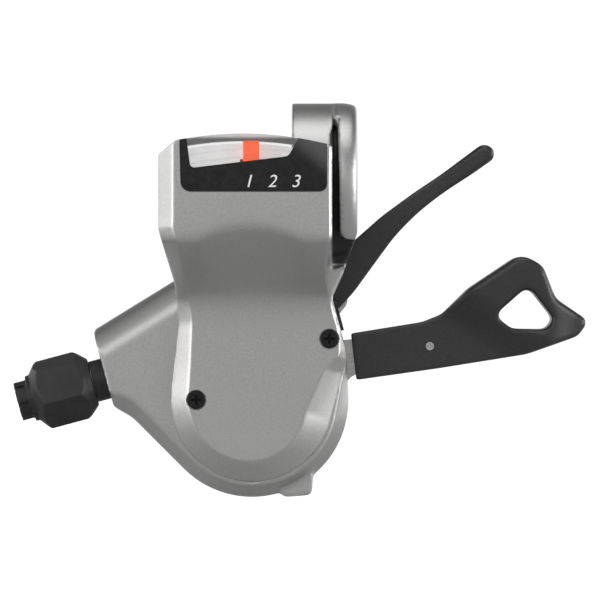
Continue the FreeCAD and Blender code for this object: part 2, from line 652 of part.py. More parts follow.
def lever_washers():
    """Thin washers in front of, between and behind the two levers."""
    gaps = [(MAIN_FRONT - 0.45, MAIN_FRONT - 0.05), (MAIN_BACK + 0.3, RELEASE_FRONT - 0.3),
            (RELEASE_BACK + 0.05, RELEASE_BACK + 0.45)]
    save("lever_washers", [disc(AXLE, 6.2, y0, y1, SLEEVE_RADIUS) for y0, y1 in gaps])


def cable_drum():
    """The drum that winds the cable, with its crank pin and cable-end seat."""
    r = DRUM_RADIUS
    half = 1.1
    profile = [
        Vector(BUSH_RADIUS + RUN, DRUM_FRONT, 0), Vector(r, DRUM_FRONT, 0),
        Vector(r, CABLE_Y - half, 0), Vector(GROOVE_RADIUS - 0.8, CABLE_Y - 0.35, 0),
        Vector(GROOVE_RADIUS - 0.8, CABLE_Y + 0.35, 0), Vector(r, CABLE_Y + half, 0),
        Vector(r, DRUM_BACK, 0), Vector(BUSH_RADIUS + RUN, DRUM_BACK, 0),
        Vector(BUSH_RADIUS + RUN, DRUM_FRONT, 0)]
    drum = Part.Face(Part.makePolygon(profile)).revolve(Vector(0, 0, 0), Vector(0, 1, 0), 360)
    drum.translate(Vector(AXLE_X, 0, AXLE_Z))
    recess = disc(AXLE, 6.0, DRUM_FRONT - 1, 3.7, 4.9)
    seat_x, seat_z = polar(GROOVE_RADIUS - 1.3, 215.0)
    seat = disc((seat_x, seat_z), 2.1, DRUM_FRONT - 1, CABLE_Y + 1.6)
    crank = disc(polar(CRANK_RADIUS, 90.0), CRANK_PIN / 2.0, ARM_TAIL_Y - 0.1, DRUM_FRONT + 2)
    holes = [disc(polar(RIVET_ARM, a), 0.8, DRUM_FRONT - 1, DRUM_BACK + 1) for a in RIVETS]
    save("cable_drum", [join([drum.cut([recess, seat] + holes), crank])])


def ratchet_wheel():
    """Steel ratchet wheel on the back of the drum."""
    points = []
    for i in range(TEETH):
        a = i * STEP_ANGLE
        for radius, angle in ((RATCHET_RADIUS - TOOTH_DEPTH, a), (RATCHET_RADIUS, a + 2.0),
                              (RATCHET_RADIUS, a + 6.0)):
            x, z = polar(radius, angle)
            points.append((x, z, 0))
    wheel = plate(points, DRUM_BACK, RATCHET_BACK)
    holes = [disc(polar(RIVET_ARM, a), 0.8, DRUM_BACK - 1, RATCHET_BACK + 1) for a in RIVETS]
    save("ratchet_wheel", [wheel.cut([disc(AXLE, BUSH_RADIUS + RUN, DRUM_BACK - 1, RATCHET_BACK + 1)]
                                     + holes)])


def drum_rivets():
    """Three rivets that hold the ratchet wheel on the drum."""
    save("drum_rivets", [disc(polar(RIVET_ARM, a), 0.8, DRUM_FRONT, RATCHET_BACK) for a in RIVETS])


def drum_spring():
    """Torsion spring in the front of the drum that lets the cable out."""
    save("drum_spring", [coil(AXLE, 5.45, 0.7, 3, -0.2, 3.5)])


def holding_pawl():
    """Pawl that keeps the drum at its gear; the release finger lifts it."""
    pivot = polar(HOLD_ARM, HOLD_ANGLE)
    y0, y1 = DRUM_BACK + 0.1, RATCHET_BACK - 0.1
    tip = polar(RATCHET_RADIUS + AIR, 38.0)
    inner = polar(RATCHET_RADIUS + AIR + 0.5, 46.0)
    outer = polar(RATCHET_RADIUS + AIR + 2.2, 40.0)
    out_root = polar(HOLD_ARM + 1.5, HOLD_ANGLE - 2.0)
    in_root = polar(HOLD_ARM - 1.6, HOLD_ANGLE - 4.0)
    body = plate([(tip[0], tip[1], 0), (outer[0], outer[1], 0.6),
                  (out_root[0], out_root[1], 0), (in_root[0], in_root[1], 0),
                  (inner[0], inner[1], 0)], y0, y1)
    boss = disc(pivot, 1.7, y0, y1)
    tail = bar(pivot, polar(HOLD_ARM + 2.9, HOLD_ANGLE + 8.5), 0.9, y0, y1)
    save("holding_pawl", [join([body, boss, tail]).cut(disc(pivot, 1.0 + RUN, y0 - 1, y1 + 1))])


def holding_pawl_pin():
    """Fixed pin that the holding pawl turns on."""
    save("holding_pawl_pin", [disc(polar(HOLD_ARM, HOLD_ANGLE), 1.0, 2.6, BACK_Y)])


def drive_pawl():
    """Pawl on the main lever that pushes the ratchet round."""
    pivot = polar(PAWL_ARM, DRIVE_ANGLE)
    y0, y1 = DRUM_BACK + 0.1, RATCHET_BACK - 0.1
    tip = polar(RATCHET_RADIUS + AIR, DRIVE_ANGLE - 23.0)
    outer = polar(RATCHET_RADIUS + AIR + 1.9, DRIVE_ANGLE - 20.0)
    out_root = polar(PAWL_ARM + 1.5, DRIVE_ANGLE - 3)
    in_root = polar(PAWL_ARM - 1.6, DRIVE_ANGLE - 3)
    inner = polar(RATCHET_RADIUS + AIR + 0.4, DRIVE_ANGLE - 13.0)
    body = plate([(p[0], p[1], 0) for p in (tip, outer, out_root, in_root, inner)], y0, y1)
    boss = disc(pivot, 1.7, y0, y1)
    save("drive_pawl", [join([body, boss]).cut(disc(pivot, 1.0 + RUN, y0 - 1, y1 + 1))])


def drive_pawl_pin():
    """Pin on the main lever that carries the drive pawl through the floor."""
    spot = polar(PAWL_ARM, DRIVE_ANGLE)
    shank = disc(spot, 1.0, DRUM_BACK + 0.1, MAIN_FRONT)
    collar = disc(spot, 1.5, RATCHET_BACK + 0.1, MAIN_FRONT)
    save("drive_pawl_pin", [join([shank, collar])])


# ============================== levers ==============================
MAIN_ARM = [(-14.0, -30.6, 3.0), (3.0, -28.1, 0), (17.7, -26.2, 2.0), (27.5, -23.6, 1.5),
            (28.3, -28.3, 1.5), (20.7, -31.4, 2.0), (5.3, -34.4, 3.0), (-6.0, -46.0, 4.0)]
MAIN_GRIP = [(4.9, -26.8, 0.5), (17.7, -24.8, 6.0), (21.5, -23.4, 4.0), (26.2, -18.5, 6.0),
             (35.6, -12.4, 3.2), (39.8, -14.2, 3.0), (42.4, -20.6, 4.0), (48.2, -24.6, 1.3),
             (46.2, -27.2, 2.5), (36.5, -30.7, 10.0), (20.7, -33.2, 20.0), (5.9, -35.3, 0.5)]
GRIP_HOLE = [(31.2, -23.4, 1.2), (37.0, -18.4, 1.6), (41.7, -24.0, 1.4), (40.2, -26.1, 1.2),
             (33.6, -25.8, 1.8)]
RELEASE_GRIP = [(1.4, -20.4, 0.4), (3.8, -15.2, 3.0), (6.6, -9.2, 8.0), (16.5, -0.9, 10.0),
                (29.3, 8.3, 1.5), (32.6, 5.9, 1.4), (21.3, -1.6, 10.0), (12.6, -9.4, 12.0),
                (7.4, -16.6, 12.0), (2.4, -22.6, 0.4)]
RELEASE_KNEE = (2.0, -20.6)
RELEASE_ELBOW = (5.6, -15.0)
RELEASE_TIP = (15.4, -4.0)


def main_lever_plate():
    """Steel plate of the thumb lever: hub, arm and the ear for its pawl."""
    hub = disc(AXLE, HUB_RADIUS, MAIN_FRONT, MAIN_BACK)
    arm = plate(MAIN_ARM, MAIN_FRONT, MAIN_BACK)
    ear = bar(AXLE, polar(PAWL_ARM, DRIVE_ANGLE), 1.9, MAIN_FRONT, MAIN_BACK)
    cuts = [disc(AXLE, SLEEVE_RADIUS + RUN, MAIN_FRONT - 1, MAIN_BACK + 1),
            disc(PIN_SPOT, PIN_RADIUS, MAIN_FRONT - 1, MAIN_BACK + 1)]
    save("main_lever_plate", [join([hub, arm, ear]).cut(cuts)])


def main_lever_grip():
    """Moulded thumb pad over the end of the steel arm."""
    sleeve = plate(MAIN_GRIP, MAIN_FRONT - 1.5, MAIN_BACK + 1.6)
    pad_zone = [(29.0, -10.0, 0), (50.0, -10.0, 0), (50.0, -33.0, 0), (33.0, -33.0, 0)]
    pad = plate(MAIN_GRIP, MAIN_FRONT - 5.0, MAIN_BACK + 5.6, 0.4).common(
        plate(pad_zone, MAIN_FRONT - 6.0, MAIN_BACK + 6.6))
    cuts = [plate(GRIP_HOLE, MAIN_FRONT - 8, MAIN_BACK + 8),
            plate(MAIN_ARM, MAIN_FRONT, MAIN_BACK),
            disc(PIN_SPOT, PIN_RADIUS, MAIN_FRONT - 4, MAIN_BACK + 4)]
    save("main_lever_grip", [join([sleeve, pad]).cut(cuts)])


def main_lever_pin():
    """Rivet that holds the thumb pad on the arm."""
    save("main_lever_pin", [disc(PIN_SPOT, PIN_RADIUS, MAIN_FRONT - 1.6, MAIN_BACK + 1.7)])


def release_arm():
    """The narrowing steel arm inside the release lever's grip."""
    stations = [(AXLE, 2.3), (RELEASE_KNEE, 2.3), (RELEASE_ELBOW, 1.6), (RELEASE_TIP, 1.2)]
    return join([bar(stations[i][0], stations[i + 1][0], stations[i + 1][1], RELEASE_FRONT, RELEASE_BACK)
                 for i in range(len(stations) - 1)])


def release_lever_plate():
    """Steel plate of the release lever, with the finger that lifts the holding pawl."""
    hub = disc(AXLE, HUB_RADIUS - 1.0, RELEASE_FRONT, RELEASE_BACK)
    finger = disc(polar(FINGER_ARM, FINGER_ANGLE), 0.9, DRUM_BACK + 0.1, RELEASE_FRONT + 0.2)
    bore = disc(AXLE, SLEEVE_RADIUS + RUN, RELEASE_FRONT - 1, RELEASE_BACK + 1)
    save("release_lever_plate", [join([hub, release_arm(), finger]).cut(bore)])


def release_lever_grip():
    """Moulded finger lever over the steel arm."""
    grip = plate(RELEASE_GRIP, RELEASE_FRONT - 0.55, RELEASE_BACK + 1.0)
    save("release_lever_grip", [grip.cut(release_arm())])


def lever_springs():
    """Return springs of the two levers."""
    save("main_lever_spring", [coil(AXLE, 5.0, 0.7, 2, BACK_Y + 0.15, MAIN_FRONT - 0.5)])
    save("release_lever_spring", [coil(AXLE, 5.2, 0.7, 2.5, RELEASE_BACK + 0.5, LOWER_INSIDE - 0.3)])


def lower_cover():
    """Black cover over the lever hubs, open where the levers come out."""
    shell = disc(AXLE, LOWER_RADIUS, BACK_Y, LOWER_BACK)
    edge = [e for e in shell.Edges if e.BoundBox.YMin > LOWER_BACK - 0.01]
    shell = shell.makeFillet(1.2, edge)
    shell = shell.cut(disc(AXLE, LOWER_RADIUS - LOWER_WALL, BACK_Y - 1, LOWER_INSIDE))
    shell = shell.cut(sector(HUB_RADIUS, LOWER_RADIUS + 2, -36.0, 84.0, BACK_Y - 1, LOWER_INSIDE))
    bosses = [disc(polar(LOWER_SCREW_ARM, a), 2.1, BACK_Y, LOWER_INSIDE + 0.2) for a in LOWER_SCREWS]
    cuts = [disc(AXLE, 5.0, LOWER_INSIDE - 1, LOWER_BACK + 1)]
    for a in LOWER_SCREWS:
        spot = polar(LOWER_SCREW_ARM, a)
        cuts.append(disc(spot, 1.0 + SLIP, BACK_Y - 1, LOWER_BACK + 1))
        cuts.append(disc(spot, 1.8 + SLIP, LOWER_BACK - 1.0, LOWER_BACK + 1))
    save("lower_cover", [join([shell] + bosses).cut(cuts)])


def lower_cover_screws():
    """Three cross-head screws from the back into the casting."""
    screws = []
    for a in LOWER_SCREWS:
        spot = polar(LOWER_SCREW_ARM, a)
        head = disc(spot, 1.8, LOWER_BACK - 1.0, LOWER_BACK + 0.1)
        shank = disc(spot, 1.0, 4.0, LOWER_BACK - 0.9)
        recess = cross_recess(spot, 1.1, 0.45, LOWER_BACK - 0.5, LOWER_BACK + 1)
        screws.append(join([head, shank]).cut(recess))
    save("lower_cover_screws", screws)


# ============================== cable port and adjuster ==============================
def cable_port_plug():
    """Black screw plug where a new cable is fed in."""
    thread = cable_rod(PORT_RADIUS, PORT_SEAT + 3.4, PORT_SEAT)
    head = cable_rod(PORT_HEAD, PORT_SEAT, PORT_SEAT - 1.4)
    save("cable_port_plug", [join([thread, head])])


def hex_rod(corner_radius, start, end):
    """A six-sided rod on the cable line."""
    rod = hexagon((0, 0), corner_radius, start, end)
    rod.rotate(Vector(0, 0, 0), Vector(0, 1, 0), 30)
    turn = Rotation(Vector(0, 1, 0), OUTWARD)
    rod.rotate(Vector(0, 0, 0), turn.Axis, math.degrees(turn.Angle))
    rod.translate(along_cable(0.0))
    return rod


def cable_cone(r0, r1, start, end):
    """A tapered round rod on the cable line."""
    return Part.makeCone(r0, r1, end - start, along_cable(start), OUTWARD)


def adjuster_collar():
    """Click collar that slides in the wing and carries the barrel."""
    collar = cable_rod(NECK_RADIUS, -4.0, NECK_LENGTH)
    save("adjuster_collar", [collar.cut(cable_rod(STUD_RADIUS + RUN, -5.0, NECK_LENGTH + 1))])


def adjuster_spring():
    """Spring that presses the click collar against the barrel."""
    spring = coil((0, 0), 3.1, 0.5, 2, 0.0, 1.9)
    turn = Rotation(Vector(0, 1, 0), OUTWARD)
    spring.rotate(Vector(0, 0, 0), turn.Axis, math.degrees(turn.Angle))
    spring.translate(along_cable(-5.95))
    save("adjuster_spring", [spring])


def adjuster_barrel():
    """The black barrel that a hand turns, with the socket for the cable's housing."""
    start = NECK_LENGTH + 0.1
    blank = cable_cone(4.3, HEX_RADIUS + 0.1, start, HEX_START + 0.3)
    blank = blank.fuse([cable_rod(HEX_RADIUS + 0.1, HEX_START + 0.3, HEX_END),
                        cable_cone(HEX_RADIUS + 0.1, 4.2, HEX_END, HEX_END + 1.9)])
    nut = blank.common(hex_rod(HEX_RADIUS, start, HEX_END + 1.9))
    ring = cable_rod(4.2, HEX_END + 1.8, HEX_END + 2.6)
    tip = cable_rod(TIP_RADIUS, HEX_END + 2.5, BARREL_END)
    notches = []
    for i in range(6):
        cut = Part.makeBox(1.0, 2.4, 1.2, Vector(-0.5, BARREL_END - 1.9, TIP_RADIUS - 0.6))
        cut.rotate(Vector(0, 0, 0), Vector(0, 1, 0), 60 * i)
        turn = Rotation(Vector(0, 1, 0), OUTWARD)
        cut.rotate(Vector(0, 0, 0), turn.Axis, math.degrees(turn.Angle))
        cut.translate(along_cable(0.0))
        notches.append(cut)
    bore = BARREL_END - SOCKET_DEPTH
    cuts = [cable_rod(SOCKET_RADIUS, bore, BARREL_END + 1), cable_rod(1.1, 0, bore + 1),
            cable_rod(STUD_RADIUS, 0, 7.0)]
    save("adjuster_barrel", [join([nut, ring, tip]).cut(cuts + notches)])


def adjuster_stud():
    """Hollow threaded stud, moulded into the barrel and screwed into the wing."""
    stud = cable_rod(STUD_RADIUS, -STUD_DEPTH, 7.0)
    save("adjuster_stud", [stud.cut(cable_rod(1.1, -STUD_DEPTH - 1, 8.0))])


clamp_bracket()
clamp_bolt()
top_cover()
cover_screws()
indicator_bezel()
indicator_lens()
indicator_dial()
indicator_tray()
indicator_arm()
indicator_needle()
indicator_pivot()
front_plate()
plate_screws()
pivot_axle()
axle_nut()
drum_bush()
lever_sleeve()
lever_washers()
cable_drum()
ratchet_wheel()
drum_rivets()
drum_spring()
holding_pawl()
holding_pawl_pin()
drive_pawl()
drive_pawl_pin()
main_lever_plate()
main_lever_grip()
main_lever_pin()
release_lever_plate()
release_lever_grip()
lever_springs()
lower_cover()
lower_cover_screws()
cable_port_plug()
adjuster_collar()
adjuster_spring()
adjuster_barrel()
adjuster_stud()
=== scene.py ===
import json
import math
import bpy
import numpy as np
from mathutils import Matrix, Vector

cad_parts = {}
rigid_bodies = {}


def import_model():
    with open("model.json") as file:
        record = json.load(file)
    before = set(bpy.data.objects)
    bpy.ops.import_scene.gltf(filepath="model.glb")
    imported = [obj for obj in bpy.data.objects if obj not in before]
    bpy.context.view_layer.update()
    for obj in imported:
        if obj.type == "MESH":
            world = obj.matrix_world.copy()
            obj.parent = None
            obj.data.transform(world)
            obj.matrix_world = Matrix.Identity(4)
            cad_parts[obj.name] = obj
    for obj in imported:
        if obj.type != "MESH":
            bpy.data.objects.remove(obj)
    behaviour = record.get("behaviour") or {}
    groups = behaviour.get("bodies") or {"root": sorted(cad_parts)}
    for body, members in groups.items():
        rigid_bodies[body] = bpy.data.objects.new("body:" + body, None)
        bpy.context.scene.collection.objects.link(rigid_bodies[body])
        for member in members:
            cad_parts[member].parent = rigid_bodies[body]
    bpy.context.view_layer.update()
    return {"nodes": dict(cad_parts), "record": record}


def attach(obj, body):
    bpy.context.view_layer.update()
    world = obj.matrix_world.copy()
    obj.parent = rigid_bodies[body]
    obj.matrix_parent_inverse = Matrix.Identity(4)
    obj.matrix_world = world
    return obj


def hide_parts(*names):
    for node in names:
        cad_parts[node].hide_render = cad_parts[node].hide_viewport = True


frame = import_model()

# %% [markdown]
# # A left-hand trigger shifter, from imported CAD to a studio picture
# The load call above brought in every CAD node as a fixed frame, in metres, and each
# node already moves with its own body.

MM = 0.001
nodes = frame["nodes"]

# %% [markdown]
# ## Small helpers
# Operators work on whatever is selected, and the loaded nodes are all selected. So we
# start each piece by selecting nothing, and pick only the object we work on. A
# modifier is applied at once, so that a finished piece is plain mesh. Two more helpers
# read a piece's points as millimetres and write them back.

# %% helpers for selecting and for modifiers
def pick(piece):
    bpy.ops.object.select_all(action="DESELECT")
    piece.select_set(True)
    bpy.context.view_layer.objects.active = piece


def modify(piece, kind, **settings):
    pick(piece)
    modifier = piece.modifiers.new(kind, kind)
    for key, value in settings.items():
        setattr(modifier, key, value)
    bpy.ops.object.modifier_apply(modifier=modifier.name)


def cut(piece, tool):
    """Takes the tool's shape away from the piece, and deletes the tool."""
    modify(piece, "BOOLEAN", object=tool, operation="DIFFERENCE", solver="MANIFOLD")
    bpy.data.objects.remove(tool)


def place_of(piece):
    """The piece's vertices as an array of millimetres."""
    co = np.zeros(len(piece.data.vertices) * 3)
    piece.data.vertices.foreach_get("co", co)
    return co.reshape(-1, 3) / MM


def put(piece, points):
    """Writes an array of millimetres back to the piece's vertices."""
    piece.data.vertices.foreach_set("co", (points * MM).ravel())
    piece.data.update()


print("helpers ready")

# %% [markdown]
# ## Outlines with rounded corners
# Most pieces of the shifter are flat shapes seen from the front, so one helper turns
# a list of corners (x, z, radius) into a closed row of points, and a second one makes
# a block from it: a filled circle is added, its points are moved onto the outline, and
# it is extruded to its depth.

# %% outline and block helpers
def rounded(corners, steps=8):
    """A closed outline in millimetres, with an arc of several points at each corner."""
    points = []
    count = len(corners)
    for i, (x, z, radius) in enumerate(corners):
        here = np.array([x, z])
        before = here - np.array(corners[i - 1][:2])
        after = np.array(corners[(i + 1) % count][:2]) - here
        before /= np.linalg.norm(before)
        after /= np.linalg.norm(after)
        turn = math.acos(max(-1.0, min(1.0, float(before @ after))))
        if radius < 0.02 or turn < 0.01:
            points.append(here)
            continue
        reach = radius * math.tan(turn / 2.0)
        side = 1.0 if before[0] * after[1] - before[1] * after[0] > 0 else -1.0
        normal = np.array([-before[1], before[0]]) * side
        centre = here - before * reach + normal * radius
        arm = -normal * radius
        for step in range(steps + 1):
            a = side * turn * step / steps
            points.append(centre + np.array([arm[0] * math.cos(a) - arm[1] * math.sin(a),
                                             arm[0] * math.sin(a) + arm[1] * math.cos(a)]))
    return np.array(points)


def block(name, outline, y0, y1):
    """A solid with the given outline, from depth y0 to depth y1."""
    bpy.ops.object.select_all(action="DESELECT")
    bpy.ops.mesh.primitive_circle_add(vertices=len(outline), radius=MM, fill_type="NGON",
                                      location=(0, 0, 0))
    piece = bpy.context.object
    piece.name = name
    put(piece, np.array([[x, y0, z] for x, z in outline]))
    bpy.ops.object.mode_set(mode="EDIT")
    bpy.ops.mesh.select_all(action="SELECT")
    bpy.ops.mesh.extrude_region_move(TRANSFORM_OT_translate={"value": (0, (y1 - y0) * MM, 0)})
    bpy.ops.mesh.select_all(action="SELECT")
    bpy.ops.mesh.normals_make_consistent(inside=False)
    bpy.ops.object.mode_set(mode="OBJECT")
    return piece


def rod(name, radius, centre, depth, axis, sides=64):
    """A round tool for cutting, along X or along Y, in millimetres."""
    turn = (0, math.pi / 2, 0) if axis == "X" else (math.pi / 2, 0, 0)
    bpy.ops.object.select_all(action="DESELECT")
    bpy.ops.mesh.primitive_cylinder_add(vertices=sides, radius=radius * MM, depth=depth * MM,
                                        location=[c * MM for c in centre], rotation=turn)
    piece = bpy.context.object
    piece.name = name
    bpy.ops.object.transform_apply(location=True, rotation=True, scale=True)
    return piece


print("outline helpers ready")

# %% [markdown]
# ## A soft casting from a sharp CAD solid
# Cast and moulded pieces have no knife edges. A copy of the CAD solid is merged, then
# rebuilt on a fine grid of voxels, and smoothed a few times. That rounds every edge by
# about the size of a voxel or two, as paint or a mould does, and keeps the flats flat.

# %% copy, soften and finish helpers
def cad_copy(node, name):
    piece = nodes[node].copy()
    piece.data = nodes[node].data.copy()
    piece.name = name
    for key in list(piece.keys()):
        del piece[key]
    piece.parent = None
    bpy.context.scene.collection.objects.link(piece)
    pick(piece)
    piece.data.materials.clear()
    bpy.ops.object.mode_set(mode="EDIT")
    bpy.ops.mesh.select_all(action="SELECT")
    bpy.ops.mesh.remove_doubles(threshold=0.002 * MM)
    bpy.ops.object.mode_set(mode="OBJECT")
    return piece


def soften(piece, voxel, rounds):
    modify(piece, "REMESH", mode="VOXEL", voxel_size=voxel * MM)
    modify(piece, "SMOOTH", iterations=rounds, factor=0.5)


def smooth_step(value, start, end):
    """0 before the start, 1 after the end, and an even change between."""
    t = np.clip((value - start) / (end - start), 0.0, 1.0)
    return t * t * (3.0 - 2.0 * t)


def smooth_where(piece, name, share, rounds):
    """Smooths a piece as strongly as the share given for each of its vertices."""
    group = piece.vertex_groups.new(name=name)
    for vertex, weight in zip(piece.data.vertices, share):
        group.add([vertex.index], float(weight), "REPLACE")
    modify(piece, "SMOOTH", iterations=rounds, factor=0.5, vertex_group=name)


def hand_over(piece, body, slot, *stands_for):
    """Shades a finished piece smooth, puts it on its body and hides the CAD nodes it stands for.
    The slot is not used.
    """
    pick(piece)
    bpy.ops.object.transform_apply(location=True, rotation=True, scale=True)
    bpy.ops.object.shade_smooth_by_angle(angle=math.radians(35))
    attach(piece, body)
    if stands_for:
        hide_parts(*stands_for)
    print(piece.name, "has", len(piece.data.polygons), "faces and rides on", body)


print("casting helpers ready")

# %% [markdown]
# ## The camera
# The shifter is seen square from the front, through a long lens, and fills the frame.
# Looking along +Y, X runs to the right and Z runs up. The standard view keeps the white
# behind the shifter white.

# %% camera
VIEW_WIDTH = 0.1085
VIEW_DISTANCE = 1.3
SENSOR = 36.0
MIDDLE_X, MIDDLE_Z = -0.0044, -0.0207
bpy.ops.object.camera_add(location=(MIDDLE_X, -VIEW_DISTANCE, MIDDLE_Z),
                          rotation=(math.pi / 2, 0, 0))
camera = bpy.context.object
camera.data.sensor_width = SENSOR
camera.data.lens = SENSOR * VIEW_DISTANCE / VIEW_WIDTH
camera.data.clip_start = 0.05
camera.data.clip_end = 30.0
bpy.context.scene.camera = camera
bpy.context.scene.view_settings.view_transform = "Standard"
print("lens", round(camera.data.lens, 1), "mm")

# %% [markdown]
# ## The silver top cover
# This is the piece that people see first. It is a thin shell over the round mechanism,
# and it rises to the gear display at the top. A bevel runs round its lower end, a
# facet runs down the inboard side, and a thumb-wide scoop leads up to the display. A
# flat block with bevelled edges can't give those soft changes, so the front is a grid:
# its four sides follow the outline, and each of its points is given a depth.

# %% the cover's outline, in four sides
COVER = [(-26.27, -25.0, 6.0), (-29.37, -53.5, 14.6), (-1.9, -53.5, 14.6), (4.0, -31.5, 2.0),
         (3.45, -28.0, 1.5), (2.0, -23.5, 2.0), (0.5, -17.0, 3.0), (0.5, -14.2, 3.0),
         (1.3, -9.5, 2.0), (1.3, 6.9, 0.6), (-13.0, 10.0, 60.0), (-26.4, 7.8, 0.6),
         (-29.7, 5.3, 0.6), (-29.7, -8.0, 4.0), (-27.0, -17.5, 6.0)]
CORNERS = [(-23.4, -49.3), (-2.8, -49.3), (1.3, 6.9), (-26.4, 7.8)]


def measured(points):
    """Distance run along a closed outline at each of its points, and its whole length."""
    step = np.linalg.norm(np.roll(points, -1, axis=0) - points, axis=1)
    return np.concatenate([[0.0], np.cumsum(step)[:-1]]), step.sum()


def along(points, where):
    """Points of a closed outline at the given distances along it."""
    run, total = measured(points)
    run = np.append(run, total)
    closed = np.vstack([points, points[:1]])
    where = np.mod(where, total)
    return np.stack([np.interp(where, run, closed[:, k]) for k in (0, 1)], axis=1)


def side_marks(points, corners):
    """Where along the outline each corner of the grid lies, in rising order."""
    run, total = measured(points)
    marks = [run[np.argmin(np.linalg.norm(points - np.array(c), axis=1))] for c in corners]
    for i in range(1, len(marks)):
        while marks[i] < marks[i - 1]:
            marks[i] += total
    return marks + [marks[0] + total]


EVEN_SHARE = 0.45


def crowded(count):
    """Values from 0 to 1 that lie closer together near both ends."""
    t = np.linspace(0.0, 1.0, count)
    return EVEN_SHARE * t + (1.0 - EVEN_SHARE) * (0.5 - 0.5 * np.cos(np.pi * t))


def patch(points, corners, wide, high):
    """A grid of points inside an outline whose borders follow its four sides."""
    marks = side_marks(points, corners)
    u, v = crowded(wide), crowded(high)
    low = along(points, marks[0] + (marks[1] - marks[0]) * u)
    right = along(points, marks[1] + (marks[2] - marks[1]) * v)
    top = along(points, marks[3] - (marks[3] - marks[2]) * u)
    left = along(points, marks[4] - (marks[4] - marks[3]) * v)
    uu, vv = u[None, :, None], v[:, None, None]
    grid = (1 - vv) * low[None] + vv * top[None] + (1 - uu) * left[:, None] + uu * right[:, None]
    grid -= ((1 - uu) * (1 - vv) * low[0] + uu * (1 - vv) * low[-1]
             + (1 - uu) * vv * top[0] + uu * vv * top[-1])
    return grid.reshape(-1, 2)


OUTLINE_POINTS = 900
fine = rounded(COVER, 24)
outline = along(fine, np.linspace(0.0, measured(fine)[1], OUTLINE_POINTS, endpoint=False))
print("cover outline:", len(outline), "points")

# %% [markdown]
# The depth of the front comes from three simple parts. The base shape is the display
# flat, the slope with its scoop, and the low flat. The bevel falls away towards the
# outline, and its width and drop change on the way round. Beside the display it is the
# flat facet instead, which runs straight down. Last, a small rounding breaks the edge.

# %% depth of the cover's front
DISPLAY_Y, LOW_Y, SEAT_Y = -21.0, -5.0, -2.0
SLOPE_HIGH, SLOPE_LOW = -10.1, -20.4
SLOPE_TOP_SOFT, SLOPE_FOOT_SOFT = 0.045, 0.13
SCOOP_MIDDLE, SCOOP_HALF, SCOOP_RISE = -13.3, 9.6, 2.3
DISPLAY_LEFT, FACET_WIDE = -29.7, 2.9
BEVEL_SOFT = 0.10
EDGE_WIDE, EDGE_DROP = 0.3, 0.25
BEVELS = [(-27.0, -22.0, 2.4, 2.0), (-27.6, -32.0, 3.1, 2.75), (-27.4, -42.0, 3.6, 2.75),
          (-13.1, -53.5, 3.9, 2.75), (-3.5, -49.8, 4.4, 2.75), (1.2, -42.0, 5.0, 2.75),
          (3.5, -34.0, 3.4, 2.75), (3.7, -30.0, 1.2, 1.4), (2.6, -25.5, 0.5, 0.4),
          (0.5, -16.0, 0.5, 0.4), (1.3, 0.0, 0.6, 0.5), (1.0, 7.0, 0.5, 0.4),
          (-13.0, 9.0, 0.5, 0.4), (-26.0, 7.9, 2.9, 2.9), (-29.3, 5.6, 2.9, 2.9),
          (-29.7, -6.0, 2.9, 2.9), (-28.0, -14.0, 2.6, 2.4)]


def bevel_table(points, keys):
    """Bevel width and drop for each point of the outline."""
    run, total = measured(points)
    spot = [run[np.argmin(np.linalg.norm(points - np.array(k[:2]), axis=1))] for k in keys]
    order = np.argsort(spot)
    spot = np.array(spot)[order]
    rows = np.array([k[2:] for k in keys])[order]
    spot = np.concatenate([[spot[-1] - total], spot, [spot[0] + total]])
    rows = np.vstack([rows[-1:], rows, rows[:1]])
    return np.stack([np.interp(run, spot, rows[:, k]) for k in (0, 1)], axis=1)


def edge_distance(points, edge):
    """Distance of each point to the outline, and the number of its nearest outline point."""
    near = np.empty(len(points))
    which = np.empty(len(points), int)
    for start in range(0, len(points), 4000):
        part = points[start:start + 4000]
        gap = np.linalg.norm(part[:, None] - edge[None], axis=2)
        which[start:start + 4000] = gap.argmin(axis=1)
        near[start:start + 4000] = gap.min(axis=1)
    return near, which


def soft_above_zero(value, soft):
    """The value where it is above zero, nothing below, and a rounded corner between."""
    return (value + np.sqrt(value * value + soft * soft)) / 2.0


def base_depth(x, z):
    """Depth of the display flat, the slope and the low flat."""
    scoop = np.clip(1.0 - ((x - SCOOP_MIDDLE) / SCOOP_HALF) ** 2, 0.0, None)
    high = SLOPE_HIGH + SCOOP_RISE * scoop
    s = (high - z) / (high - SLOPE_LOW)
    rest = 1.0 - soft_above_zero(s, SLOPE_TOP_SOFT)
    share = 1.0 - soft_above_zero(rest, SLOPE_FOOT_SOFT)
    return DISPLAY_Y + (LOW_Y - DISPLAY_Y) * share


def front_depth(points, edge, table):
    """Depth of the cover's whole front at each point inside its outline."""
    near, which = edge_distance(points, edge)
    width, drop = table[which, 0], table[which, 1]
    x, z = points[:, 0], points[:, 1]
    facet = (z > -6.0) & (x < -20.0)
    inwards = np.where(facet, x - DISPLAY_LEFT, near)
    width = np.where(facet, FACET_WIDE, width)
    drop = np.where(facet, FACET_WIDE, drop)
    t = np.clip(1.0 - inwards / width, 0.0, 1.0)
    fall = np.sqrt(t * t + BEVEL_SOFT ** 2) - BEVEL_SOFT
    fall /= math.sqrt(1.0 + BEVEL_SOFT ** 2) - BEVEL_SOFT
    edge_share = np.clip(1.0 - near / EDGE_WIDE, 0.0, 1.0)
    rim = EDGE_DROP * (1.0 - np.sqrt(1.0 - edge_share ** 2))
    return base_depth(x, z) + drop * fall + rim


bevel = bevel_table(outline, BEVELS)
print("bevel widths from", bevel[:, 0].min(), "to", bevel[:, 0].max())

